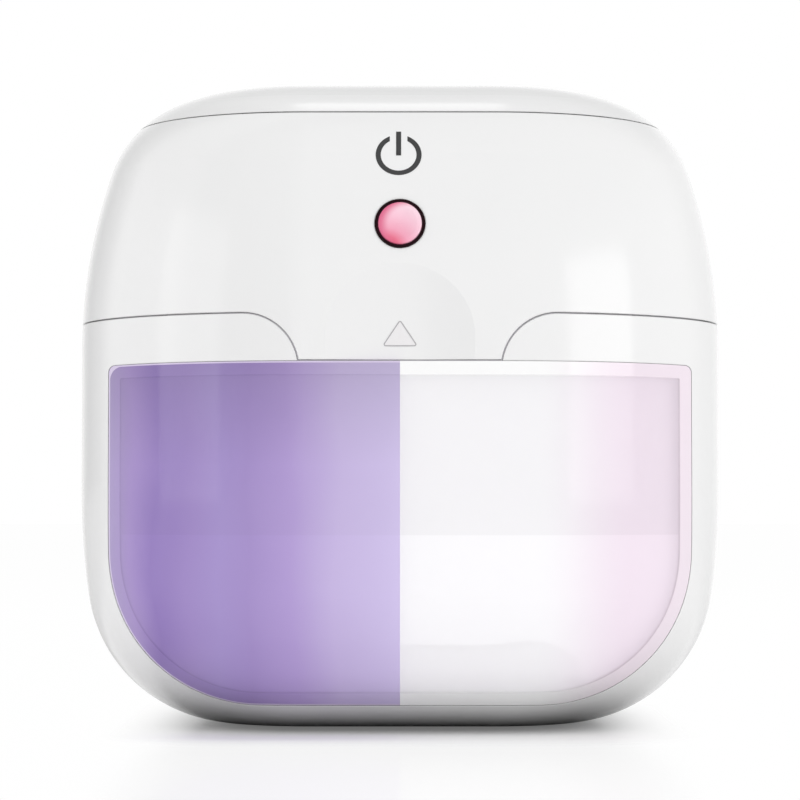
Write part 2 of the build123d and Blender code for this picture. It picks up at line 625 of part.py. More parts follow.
# ---- Lid liner: the inner plate, with a raised recess and seats for lamps ----------------
plate_core, plate_form = case_form(GASKET_INSET + GASKET_W + SEAT_CLEAR), case_form(PLATE_INSET)
plate_lower = between(plate_core, PLATE_Z, PLATE_Z + GASKET_SEAT)
plate_upper = between(plate_form, PLATE_Z + GASKET_SEAT, PLATE_TOP_Z)
lamp_points = [(side * LAMP_X, 0) for side in (-1, 1)]
lamp_screw_points = [(0, side * LAMP_SCREW_Y) for side in (-1, 1)]
with BuildPart() as lid_liner:
    add(plate_lower)
    add(plate_upper)
    with BuildSketch(Plane.XY.offset(PLATE_TOP_Z)):
        RectangleRounded(RECESS_W, RECESS_D, RECESS_CORNER_R)
    extrude(amount=RECESS_RISE)
    fillet(lid_liner.faces().sort_by(Axis.Z)[-1].edges(), RECESS_EDGE_R)
    with BuildSketch(Plane.XY.offset(PLATE_Z)):
        RectangleRounded(
            RECESS_W - 2 * RECESS_WALL, RECESS_D - 2 * RECESS_WALL, RECESS_CORNER_R - RECESS_WALL
        )
    extrude(amount=PLATE_T + RECESS_RISE - RECESS_WALL, mode=Mode.SUBTRACT)
    with BuildSketch(Plane.XY.offset(ROOF_TOP_Z)):
        with Locations(*lamp_screw_points):
            Circle(STANDOFF_R)
    extrude(amount=LAMP_BOARD_RISE)
    with BuildSketch(Plane.XY.offset(LAMP_BOARD_Z)):
        with Locations(*lamp_screw_points):
            Circle(SCREW_R)
    extrude(amount=-LAMP_SCREW_BITE, mode=Mode.SUBTRACT)
    with BuildSketch(Plane.XY.offset(ROOF_TOP_Z)):
        with Locations(*lamp_points):
            Circle(LENS_R)
    extrude(amount=-LENS_T, mode=Mode.SUBTRACT)
    with BuildSketch(Plane.XY.offset(ROOF_TOP_Z)):
        with Locations(*lamp_points):
            Circle(LENS_R - LENS_LIP)
    extrude(amount=-LENS_T - LENS_LIP_T, mode=Mode.SUBTRACT)
    with BuildSketch(Plane.XY.offset(PLATE_Z)):
        with Locations(*BOSS_POINTS):
            Circle(SCREW_HEAD_R + SCREW_CLEAR)
    extrude(amount=SCREW_HEAD_T, mode=Mode.SUBTRACT)
    with BuildSketch(Plane.XY.offset(PLATE_Z)):
        with Locations(*BOSS_POINTS):
            Circle(SCREW_R + SCREW_CLEAR)
    extrude(amount=PLATE_T, mode=Mode.SUBTRACT)
lid_liner.part.label = "lid_liner"

# ---- Gasket that closes on the liner's rim -----------------------------------------------
gasket_outside, gasket_inside = case_form(GASKET_INSET), case_form(GASKET_INSET + GASKET_W)
gasket_ring = between(gasket_outside, GASKET_Z, GASKET_Z + GASKET_T, gasket_inside)
with BuildPart() as lid_gasket:
    add(gasket_ring)
lid_gasket.part.label = "lid_gasket"

# ---- Lamp windows, lamps and their board -------------------------------------------------
with BuildPart() as led_windows:
    with BuildSketch(Plane.XY.offset(ROOF_TOP_Z - LENS_T)):
        with Locations(*lamp_points):
            Circle(LENS_R)
    extrude(amount=LENS_T)
led_windows.part.label = "led_windows"

with BuildPart() as uv_led_board:
    with BuildSketch(Plane.XY.offset(LAMP_BOARD_Z)):
        RectangleRounded(LAMP_BOARD_W, LAMP_BOARD_D, LAMP_BOARD_CORNER_R)
        with Locations(*lamp_screw_points):
            Circle(SCREW_R + SCREW_CLEAR, mode=Mode.SUBTRACT)
    extrude(amount=BOARD_T)
uv_led_board.part.label = "uv_led_board"

with BuildPart() as uv_leds:
    with BuildSketch(Plane.XY.offset(LAMP_BOARD_Z)):
        with Locations(*lamp_points):
            Rectangle(LAMP_W, LAMP_W)
    extrude(amount=-LAMP_T)
    with BuildSketch(Plane.XY.offset(LAMP_BOARD_Z - LAMP_T)):
        with Locations(*lamp_points):
            Circle(LAMP_CUP_R)
    extrude(amount=LAMP_CUP_DEPTH, mode=Mode.SUBTRACT)
uv_leds.part.label = "uv_leds"

# ---- Main board with its charging socket, controller and battery -------------------------
main_board_rear = socket_mouth_y - SOCKET_OVERHANG
with BuildPart() as main_board:
    with BuildSketch(Plane.XY.offset(MAIN_BOARD_Z)):
        with Locations((0, (main_board_rear - MAIN_BOARD_FRONT) / 2)):
            RectangleRounded(
                2 * MAIN_BOARD_HALF_W, main_board_rear + MAIN_BOARD_FRONT, MAIN_BOARD_CORNER_R
            )
        with Locations(*BOSS_POINTS):
            Circle(SCREW_R + SCREW_CLEAR, mode=Mode.SUBTRACT)
    extrude(amount=BOARD_T)
main_board.part.label = "main_board"

socket_plane = Plane.XZ.offset(-socket_mouth_y)
with BuildPart() as usb_socket:
    with BuildSketch(socket_plane):
        with Locations((0, socket_z)):
            SlotOverall(SOCKET_W, SOCKET_H)
    extrude(amount=SOCKET_L)
    with BuildSketch(socket_plane):
        with Locations((0, socket_z)):
            SlotOverall(SOCKET_W - 2 * SOCKET_WALL, SOCKET_H - 2 * SOCKET_WALL)
            Rectangle(SOCKET_TONGUE_W, SOCKET_TONGUE_T, mode=Mode.SUBTRACT)
    extrude(amount=SOCKET_L - SOCKET_WALL, mode=Mode.SUBTRACT)
usb_socket.part.label = "usb_socket"

with BuildPart() as controller_chip:
    with BuildSketch(Plane.XY.offset(MAIN_BOARD_TOP_Z)):
        with Locations(CHIP_AT):
            Rectangle(CHIP_W, CHIP_W)
    extrude(amount=CHIP_T)
    chamfer(controller_chip.faces().sort_by(Axis.Z)[-1].edges(), CHIP_CHAMFER)
controller_chip.part.label = "controller_chip"

with BuildPart() as battery_pad:
    with BuildSketch(Plane.XY.offset(MAIN_BOARD_TOP_Z)):
        with Locations((0, BATTERY_Y)):
            Rectangle(BATTERY_W - 2 * BATTERY_PAD_MARGIN, BATTERY_D - 2 * BATTERY_PAD_MARGIN)
    extrude(amount=BATTERY_PAD_T)
battery_pad.part.label = "battery_pad"

with BuildPart() as battery:
    with BuildSketch(Plane.XY.offset(MAIN_BOARD_TOP_Z + BATTERY_PAD_T)):
        with Locations((0, BATTERY_Y)):
            Rectangle(BATTERY_W, BATTERY_D)
    extrude(amount=BATTERY_T)
    fillet(battery.edges().filter_by(Axis.Y), BATTERY_EDGE_R)
battery.part.label = "battery"

# ---- Closed-lid sensor, which reads the latch magnet in the base's left front corner -----
sensor_facing = Vector(0, -1).rotate(Axis.Z, -MAGNET_ANGLE)
sensor_plane = Plane(
    origin=Vector(-CORNER_X, -CORNER_Y, PLATE_TOP_Z) + sensor_facing * SENSOR_RADIAL,
    x_dir=sensor_facing,
    z_dir=(0, 0, 1),
)
with BuildPart() as lid_sensor:
    with BuildSketch(sensor_plane):
        Rectangle(SENSOR_D, SENSOR_W)
    extrude(amount=SENSOR_T)
    fillet(lid_sensor.edges().filter_by(Axis.Z), SENSOR_EDGE_R)
lid_sensor.part.label = "lid_sensor"

# ---- Power button and its bezel ring -----------------------------------------------------
with BuildPart() as button_ring:
    with BuildSketch(button_plane.offset(RING_PROUD)):
        Circle(RING_R)
    extrude(amount=-RING_PROUD - RING_FLANGE_DEPTH - RING_FLANGE_T)
    with BuildSketch(button_plane.offset(-RING_FLANGE_DEPTH)):
        Circle(RING_FLANGE_R)
    extrude(amount=-RING_FLANGE_T)
    with BuildSketch(button_plane.offset(RING_PROUD)):
        Circle(BUTTON_R + RING_BORE_CLEAR)
    extrude(amount=-RING_PROUD - RING_FLANGE_DEPTH - RING_FLANGE_T, mode=Mode.SUBTRACT)
button_ring.part.label = "button_ring"

dish_sphere_r = (BUTTON_DISH_R**2 + BUTTON_DISH_DEPTH**2) / 2 / BUTTON_DISH_DEPTH
dish_plane = button_plane.offset(BUTTON_PROUD + dish_sphere_r - BUTTON_DISH_DEPTH)
with BuildPart() as power_button:
    with BuildSketch(button_plane.offset(-FLANGE_BACK)):
        Circle(BUTTON_FLANGE_R)
    extrude(amount=BUTTON_FLANGE_T)
    with BuildSketch(button_plane.offset(-FLANGE_DEPTH)):
        Circle(BUTTON_R)
    extrude(amount=FLANGE_DEPTH + BUTTON_PROUD)
    button_axis = Axis(button_plane.origin, button_plane.z_dir)
    fillet(power_button.faces().sort_by(button_axis)[-1].edges(), BUTTON_EDGE_R)
    with Locations(dish_plane):
        Sphere(dish_sphere_r, mode=Mode.SUBTRACT)
power_button.part.label = "power_button"

with BuildPart() as switch_plunger:
    with BuildSketch(button_plane.offset(-FLANGE_BACK)):
        Circle(PLUNGER_R)
    extrude(amount=-PLUNGER_L)
switch_plunger.part.label = "switch_plunger"

with BuildPart() as tact_switch:
    with BuildSketch(button_plane.offset(-BUTTON_BOARD_DEPTH)):
        Rectangle(SWITCH_W, SWITCH_W)
    extrude(amount=SWITCH_T)
    with BuildSketch(button_plane.offset(-SWITCH_DEPTH)):
        Circle(PLUNGER_R + PLUNGER_BORE_CLEAR)
    extrude(amount=-(PLUNGER_L - SWITCH_BEHIND + BUTTON_TRAVEL + PLUNGER_BORE_CLEAR), mode=Mode.SUBTRACT)
tact_switch.part.label = "tact_switch"

with BuildPart() as indicator_led:
    with BuildSketch(button_plane.offset(-BUTTON_BOARD_DEPTH)):
        with Locations((0, (SWITCH_W + GLOW_LED_H) / 2 + SEAT_CLEAR)):
            Rectangle(GLOW_LED_W, GLOW_LED_H)
    extrude(amount=GLOW_LED_T)
indicator_led.part.label = "indicator_led"

with BuildPart() as button_board:
    with BuildSketch(button_plane.offset(-BUTTON_BOARD_DEPTH - BUTTON_BOARD_T)):
        RectangleRounded(BUTTON_BOARD_W, BUTTON_BOARD_H, BUTTON_BOARD_CORNER_R)
        with Locations(*button_posts):
            Circle(BUTTON_SCREW_R + SCREW_CLEAR, mode=Mode.SUBTRACT)
    extrude(amount=BUTTON_BOARD_T)
button_board.part.label = "button_board"

# ---- Screws ------------------------------------------------------------------------------
liner_seats = downward(BOSS_POINTS, PLATE_Z + SCREW_HEAD_T)
main_seats = upward(BOSS_POINTS, MAIN_BOARD_TOP_Z)
lamp_seats = upward(lamp_screw_points, LAMP_BOARD_Z + BOARD_T)
button_back = button_plane.offset(-BUTTON_BOARD_DEPTH - BUTTON_BOARD_T)
button_seats = [
    Plane(origin=button_back.from_local_coords((x, y, 0)), x_dir=(1, 0, 0), z_dir=-button_back.z_dir)
    for x, y in button_posts
]
liner_screw_set = screw_group(
    liner_seats, SCREW_R, SCREW_HEAD_R, SCREW_HEAD_T, PLATE_T - SCREW_HEAD_T + SCREW_BITE
)
main_screw_set = screw_group(main_seats, SCREW_R, SCREW_HEAD_R, SCREW_HEAD_T, BOARD_T + SCREW_BITE)
lamp_screw_set = screw_group(
    lamp_seats, SCREW_R, SCREW_HEAD_R, SCREW_HEAD_T, BOARD_T + LAMP_SCREW_BITE
)
button_screw_set = screw_group(
    button_seats, BUTTON_SCREW_R, BUTTON_SCREW_HEAD_R, SCREW_HEAD_T, BUTTON_BOARD_T + SCREW_BITE
)
with BuildPart() as liner_screws:
    add(liner_screw_set)
liner_screws.part.label = "liner_screws"

with BuildPart() as main_board_screws:
    add(main_screw_set)
main_board_screws.part.label = "main_board_screws"

with BuildPart() as led_board_screws:
    add(lamp_screw_set)
led_board_screws.part.label = "led_board_screws"

with BuildPart() as button_board_screws:
    add(button_screw_set)
button_board_screws.part.label = "button_board_screws"

# ---- Latch magnets in the lid ------------------------------------------------------------
lid_magnet_blocks = corner_magnets(lid_magnet_inner, MAGNET_T, lid_magnet_z, MAGNET_H, MAGNET_W)
with BuildPart() as lid_magnets:
    add(lid_magnet_blocks)
lid_magnets.part.label = "lid_magnets"

# ---- Write one STEP file for each piece --------------------------------------------------
pieces = [
    base_shell,
    front_window,
    chamber_liner,
    floor_reflector,
    foot_pad,
    hinge_pin,
    base_magnets,
    lid_shell,
    top_cover,
    lid_liner,
    lid_gasket,
    led_windows,
    uv_led_board,
    uv_leds,
    main_board,
    usb_socket,
    controller_chip,
    battery_pad,
    battery,
    lid_sensor,
    button_ring,
    power_button,
    switch_plunger,
    tact_switch,
    indicator_led,
    button_board,
    liner_screws,
    main_board_screws,
    led_board_screws,
    button_board_screws,
    lid_magnets,
]
os.makedirs("parts", exist_ok=True)
for piece in pieces:
    export_step(piece.part, f"parts/{piece.part.label}.step")
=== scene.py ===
"""Looks of the pacifier sterilizer case: finishes, marks, fine parts, floor, light and camera."""

import json
import logging
import math
from abc import ABC, abstractmethod
from collections.abc import Callable, Mapping, Sequence
from dataclasses import dataclass, field
from enum import Enum
from functools import partial
from typing import Any

import bmesh
import bpy
from mathutils import Matrix, Vector
from mathutils.bvhtree import BVHTree

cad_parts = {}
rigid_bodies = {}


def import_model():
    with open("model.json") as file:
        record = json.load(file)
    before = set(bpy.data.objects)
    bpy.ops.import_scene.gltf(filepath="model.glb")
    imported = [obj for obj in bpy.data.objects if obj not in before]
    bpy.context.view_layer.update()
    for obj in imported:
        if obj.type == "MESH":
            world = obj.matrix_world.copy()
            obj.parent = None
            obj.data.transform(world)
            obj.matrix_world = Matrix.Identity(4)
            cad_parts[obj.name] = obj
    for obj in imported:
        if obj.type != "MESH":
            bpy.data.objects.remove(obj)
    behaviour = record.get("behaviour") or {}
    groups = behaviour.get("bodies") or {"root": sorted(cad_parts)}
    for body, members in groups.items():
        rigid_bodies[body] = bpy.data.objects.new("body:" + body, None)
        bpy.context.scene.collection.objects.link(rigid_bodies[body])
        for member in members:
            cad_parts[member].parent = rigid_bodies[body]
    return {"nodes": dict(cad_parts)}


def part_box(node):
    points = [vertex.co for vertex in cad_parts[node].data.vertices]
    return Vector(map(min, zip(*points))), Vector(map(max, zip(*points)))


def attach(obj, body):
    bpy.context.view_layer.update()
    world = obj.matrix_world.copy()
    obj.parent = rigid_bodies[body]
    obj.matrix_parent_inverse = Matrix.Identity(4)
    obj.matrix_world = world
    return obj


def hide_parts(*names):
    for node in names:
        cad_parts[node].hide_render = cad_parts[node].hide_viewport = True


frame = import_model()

Node = bpy.types.Node
Socket = bpy.types.NodeSocket
Tree = bpy.types.NodeTree
Material = bpy.types.Material
Mesh = bpy.types.Mesh
Piece = bpy.types.Object
Adder = Callable[..., Node]
Pair = tuple[float, float]
Triple = tuple[float, float, float]
Colour = tuple[float, float, float, float]

LOG = logging.getLogger("sterilizer_case")
MM = 0.001
WHITE = "#FFFFFF"
IOR_PLASTIC, IOR_ACRYLIC, IOR_SILICONE, IOR_QUARTZ = 1.5, 1.49, 1.42, 1.46


class Body(Enum):
    """Rigid bodies of the case that a piece can ride on."""

    BASE = "base"
    LID = "lid"
    BUTTON = "button"


def linear(colour: str) -> Colour:
    """Turns an sRGB hex colour into linear red, green and blue, with alpha 1.

    Args:
        colour: Hex colour such as "#F4F4F6".

    Returns:
        Red, green, blue and alpha.
    """
    parts = [int(colour[i : i + 2], 16) / 255 for i in (1, 3, 5)]
    red, green, blue = (c / 12.92 if c <= 0.04045 else ((c + 0.055) / 1.055) ** 2.4 for c in parts)
    return red, green, blue, 1.0


def add_node(tree: Tree, kind: str, inputs: Mapping[str | int, Any] | None = None, **settings: Any) -> Node:
    """Adds a node with its settings, values and links.

    Args:
        tree: Tree that takes the node.
        kind: The node's type name.
        inputs: Value, socket or node for each input, keyed by identifier, name or index. A node stands
            for the first of its outputs that is in use.
        settings: Attributes of the node itself.

    Returns:
        The new node.
    """
    node = tree.nodes.new(kind)
    for key, value in settings.items():
        setattr(node, key, value)
    for key, value in (inputs or {}).items():
        named = [s for s in node.inputs if s.identifier == key]
        socket = named[0] if named else node.inputs[key]
        if isinstance(value, Node):
            value = next(s for s in value.outputs if s.enabled)
        if isinstance(value, Socket):
            tree.links.new(value, socket)
        else:
            socket.default_value = value
    return node


def fill_ramp(ramp: Node, stops: Sequence[tuple[float, Colour]]) -> Node:
    """Sets the stops of a colour ramp.

    Args:
        ramp: The ramp's node.
        stops: Position and linear colour of each stop in rising order, two or more.

    Returns:
        The same node.
    """
    elements = ramp.color_ramp.elements
    for element, (position, colour) in zip(elements, (stops[0], stops[-1])):
        element.position, element.color = position, colour
    for position, colour in stops[1:-1]:
        elements.new(position).color = colour
    return ramp


def blank_nodes(owner: Material | bpy.types.World) -> Adder:
    """Clears the nodes of a new material or world.

    Args:
        owner: The material or world.

    Returns:
        The add_node function of its tree.
    """
    owner.use_nodes = True
    owner.node_tree.nodes.clear()
    return partial(add_node, owner.node_tree)


@dataclass(frozen=True)
class Finish(ABC):
    """Procedural material whose pattern lies in the frame's own metres.

    Attributes:
        name: Common name of the stuff and of how its surface is finished.
    """

    name: str

    def build(self) -> Material:
        """Returns the material."""
        material = bpy.data.materials.new(self.name)
        add = blank_nodes(material)
        place = add("ShaderNodeTexCoord").outputs["Object"]
        shader = add("ShaderNodeBsdfPrincipled", self.surface(add, place))
        add("ShaderNodeOutputMaterial", {"Surface": shader})
        return material

    def mottled(
        self, add: Adder, place: Socket, size_mm: float, detail: float, colours: Sequence[str]
    ) -> tuple[Node, Node]:
        """Adds soft patches of two colours.

        Args:
            add: Adds a node to the material.
            place: Place in the frame.
            size_mm: Size of the patches.
            detail: Steps of finer patches within them.
            colours: The two hex colours.

        Returns:
            The node with the patches and the one with their colour.
        """
        noise = add("ShaderNodeTexNoise", {"Vector": place, "Scale": 1000 / size_mm, "Detail": detail})
        first, second = (linear(colour) for colour in colours)
        inputs = {"Factor_Float": noise, "A_Color": first, "B_Color": second}
        return noise, add("ShaderNodeMix", inputs, data_type="RGBA")

    @abstractmethod
    def surface(self, add: Adder, place: Socket) -> dict[str, Any]:
        """Adds the nodes of the pattern.

        Args:
            add: Adds a node to the material.
            place: Place in the frame.

        Returns:
            What goes to each input of the shader.
        """


@dataclass(frozen=True)
class MouldedPlastic(Finish):
    """Injection-moulded plastic: one colour, faint flow marks and a very fine orange peel.

    Attributes:
        colour: Main colour.
        shade: Colour of the flow marks, a hair away from the main one.
        roughness: Mean roughness of the moulded face.
        specular: Level of its mirror part, 0.5 for bare plastic and less where it is dark.
        gloss_swing: Share by which the flow marks change the roughness.
        flow_mm: Width of the flow marks.
        peel_mm: Size of the orange peel, drawn coarser than real so that it shows.
        relief_mm: Height of the peel.
        edge_mm: Rounding that the mould leaves on an edge.
        painted_glow: Share of its own colour that it gives off as a painted glow, standing in for the
            chamber's lamps lighting it; the part is no lamp.
    """

    colour: str
    shade: str
    roughness: float = 0.3
    specular: float = 0.5
    gloss_swing: float = 0.04
    flow_mm: float = 30.0
    peel_mm: float = 1.6
    relief_mm: float = 0.00015
    edge_mm: float = 0.25
    painted_glow: float = 0.0

    def surface(self, add: Adder, place: Socket) -> dict[str, Any]:
        """Adds flow marks, orange peel and soft edges, as Finish.surface says."""
        flow, colour = self.mottled(add, place, self.flow_mm, 1.0, (self.colour, self.shade))
        low, high = (self.roughness * (1 + side * self.gloss_swing) for side in (-1, 1))
        gloss = add("ShaderNodeMapRange", {"Value": flow, "To Min": low, "To Max": high})
        peel = add("ShaderNodeTexNoise", {"Vector": place, "Scale": 1000 / self.peel_mm, "Detail": 0.0})
        edge = add("ShaderNodeBevel", {"Radius": self.edge_mm * MM}, samples=4)
        bump = add(
            "ShaderNodeBump",
            {"Strength": 1.0, "Distance": self.relief_mm * MM, "Height": peel, "Normal": edge},
        )
        return {
            "Base Color": colour,
            "Roughness": gloss,
            "IOR": IOR_PLASTIC,
            "Specular IOR Level": self.specular,
            "Normal": bump,
            # Painted glow: the part gives off a share of its own colour, standing in for lamp light that
            # falls on it.
            "Emission Color": linear(self.colour),
            "Emission Strength": self.painted_glow,
        }


@dataclass(frozen=True)
class TintedPane(Finish):
    """Moulded acrylic pane, violet-tinted on its left half and nearly clear on its right.

    The pane's rim is bonded to its seat, so there it is opaque; along the tinted half's polished edge runs a
    pale painted highlight.

    Attributes:
        half_w: Half width of the pane.
        low_z: Height of its lower edge.
        high_z: Height of its upper edge.
        low_r: Radius of its lower corners.
        high_r: Radius of its upper corners, as the rim follows them.
        rim_mm: Width of the bonded rim.
        rim_fade_mm: Width over which the rim's inner side turns see-through.
        line_mm: Width of the painted highlight along the tinted half's edge.
        line: Colour of that painted highlight.
        tint_and_reflection: Tint from the left edge (0) to the middle line (1); its darker band and paler
            middle are a painted reflection.
        clear: White of the clear half.
        blush: Rose cast of the clear half towards its right edge.
        blush_span: Shares of the half width where the cast begins and is full.
        tint_alpha: Cover of the tinted half, for one of the pane's two faces.
        clear_alpha: Cover of the clear half beside the middle line and at the right edge; with the painted
            glow, this white cover stands in for the bright chamber behind it.
        glow: Painted glow that the clear half and the tinted half give off, standing in for the light of the
            chamber's lamps; the pane is no lamp.
        top_shade: How much darker the tint is under the pane's upper edge.
        top_mm: Height over which it turns so.
        cloud_mm: Size of the soft lobes in the tint.
        cloud_swing: How far the lobes shift the tint, as a share of the half width.
        roughness: Roughness of the polished face.
    """

    name: str = "acrylic, moulded, half violet"
    half_w: float = 40.5 * MM
    low_z: float = 4.1 * MM
    high_z: float = 50.85 * MM
    low_r: float = 21.0 * MM
    high_r: float = 2.0 * MM
    rim_mm: float = 1.75
    rim_fade_mm: float = 0.35
    line_mm: float = 0.22
    line: str = "#D9CCE8"
    tint_and_reflection: tuple[tuple[float, str], ...] = (
        (0.0, "#AE9CCD"),
        (0.08, "#AC94D0"),
        (0.18, "#977EC2"),
        (0.3, "#A68FCC"),
        (0.4, "#AC98D2"),
        (0.5, "#AB95CF"),
        (0.64, "#B8A2D9"),
        (0.78, "#CABAE4"),
        (1.0, "#D1C4EA"),
    )
    clear: str = WHITE
    blush: str = "#F3E6F0"
    blush_span: Pair = (0.45, 0.78)
    tint_alpha: float = 0.8
    clear_alpha: Pair = (0.44, 0.46)
    glow: Pair = (0.3, 0.13)
    top_shade: float = 0.22
    top_mm: float = 14.0
    cloud_mm: float = 16.0
    cloud_swing: float = 0.06
    roughness: float = 0.1

    def depth_inside(self, add: Adder, axes: Node) -> Node:
        """Adds the distance inside the pane's outline, as far as its corner radius.

        Args:
            add: Adds a node to the material.
            axes: Node that gives the place along each axis.

        Returns:
            Node with the distance in metres.
        """
        middle_z, half_h = (self.low_z + self.high_z) / 2, (self.high_z - self.low_z) / 2
        is_low = add("ShaderNodeMath", {0: axes.outputs["Z"], 1: middle_z}, operation="LESS_THAN")
        radius = add(
            "ShaderNodeMix", {"Factor_Float": is_low, "A_Float": self.high_r, "B_Float": self.low_r}
        )
        flat = add("ShaderNodeCombineXYZ", {"X": axes.outputs["X"], "Y": axes.outputs["Z"]})
        corner = add("ShaderNodeVectorMath", {0: flat, 1: (0.0, middle_z, 0.0)}, operation="SUBTRACT")
        corner = add("ShaderNodeVectorMath", {0: corner}, operation="ABSOLUTE")
        for operation, value in (
            ("ADD", radius),
            ("SUBTRACT", (self.half_w, half_h, 1.0)),
            ("MAXIMUM", (0.0, 0.0, 0.0)),
        ):
            corner = add("ShaderNodeVectorMath", {0: corner, 1: value}, operation=operation)
        reach = add("ShaderNodeVectorMath", {0: corner}, operation="LENGTH")
        return add("ShaderNodeMath", {0: radius, 1: reach}, operation="SUBTRACT")

    def tint(self, add: Adder, place: Socket, axes: Node) -> Node:
        """Adds the violet of the left half, with its painted reflection bands and the painted shade under the
        pane's upper edge.

        Args:
            add: Adds a node to the material.
            place: Place in the frame.
            axes: The same, along each axis.

        Returns:
            Node with the colour.
        """
        clouds = add("ShaderNodeTexNoise", {"Vector": place, "Scale": 1000 / self.cloud_mm, "Detail": 1.0})
        swing = add(
            "ShaderNodeMapRange", {"Value": clouds, "To Min": -self.cloud_swing, "To Max": self.cloud_swing}
        )
        across = add(
            "ShaderNodeMapRange", {"Value": axes.outputs["X"], "From Min": -self.half_w, "From Max": 0.0}
        )
        shifted = add("ShaderNodeMath", {0: across, 1: swing}, operation="ADD", use_clamp=True)
        # Violet tint with a painted reflection of the chamber's curved back: a darker band near the left
        # edge, paler towards the middle.
        ramp = add("ShaderNodeValToRGB", {"Fac": shifted})
        fill_ramp(ramp, [(position, linear(colour)) for position, colour in self.tint_and_reflection])
        # Painted shade: the tint darkens under the pane's upper edge.
        level = add(
            "ShaderNodeMapRange",
            {
                "Value": axes.outputs["Z"],
                "From Min": self.high_z - self.top_mm * MM,
                "From Max": self.high_z,
                "To Min": 1.0,
                "To Max": 1.0 - self.top_shade,
            },
        )
        return add("ShaderNodeVectorMath", {"Vector": ramp, "Scale": level}, operation="SCALE")

    def surface(self, add: Adder, place: Socket) -> dict[str, Any]:
        """Adds the two halves, their cover and the rim, as Finish.surface says."""
        axes = add("ShaderNodeSeparateXYZ", {0: place})
        depth = self.depth_inside(add, axes)
        begin, full = (share * self.half_w for share in self.blush_span)
        rightwards = add(
            "ShaderNodeMapRange",
            {"Value": axes.outputs["X"], "From Min": begin, "From Max": full},
            interpolation_type="SMOOTHSTEP",
        )
        pale = add(
            "ShaderNodeMix",
            {"Factor_Float": rightwards, "A_Color": linear(self.clear), "B_Color": linear(self.blush)},
            data_type="RGBA",
        )
        is_left = add("ShaderNodeMath", {0: axes.outputs["X"], 1: 0.0}, operation="LESS_THAN")
        halves = add(
            "ShaderNodeMix",
            {"Factor_Float": is_left, "A_Color": pale, "B_Color": self.tint(add, place, axes)},
            data_type="RGBA",
        )
        # Painted highlight: a pale line along the tinted half's polished edge.
        on_highlight_line = add("ShaderNodeMath", {0: depth, 1: self.line_mm * MM}, operation="LESS_THAN")
        highlight_there = add("ShaderNodeMath", {0: on_highlight_line, 1: is_left}, operation="MULTIPLY")
        colour = add(
            "ShaderNodeMix",
            {"Factor_Float": highlight_there, "A_Color": halves, "B_Color": linear(self.line)},
            data_type="RGBA",
        )
        clear_cover = add(
            "ShaderNodeMapRange",
            {"Value": rightwards, "To Min": self.clear_alpha[0], "To Max": self.clear_alpha[1]},
        )
        cover = add(
            "ShaderNodeMix", {"Factor_Float": is_left, "A_Float": clear_cover, "B_Float": self.tint_alpha}
        )
        rim = add(
            "ShaderNodeMapRange",
            {
                "Value": depth,
                "From Min": self.rim_mm * MM,
                "From Max": (self.rim_mm + self.rim_fade_mm) * MM,
                "To Min": 1.0,
                "To Max": 0.0,
            },
        )
        whole = add("ShaderNodeMath", {0: cover, 1: rim}, operation="MAXIMUM")
        # Painted glow of the pane: stronger in the clear half, none on the rim.
        painted_glow_share = add(
            "ShaderNodeMix", {"Factor_Float": is_left, "A_Float": self.glow[0], "B_Float": self.glow[1]}
        )
        painted_glow_strength = add("ShaderNodeMapRange", {"Value": rim, "To Min": painted_glow_share, "To Max": 0.0})
        return {
            "Base Color": colour,
            "Roughness": self.roughness,
            "IOR": IOR_ACRYLIC,
            "Alpha": whole,
            "Emission Color": colour,
            "Emission Strength": painted_glow_strength,
        }


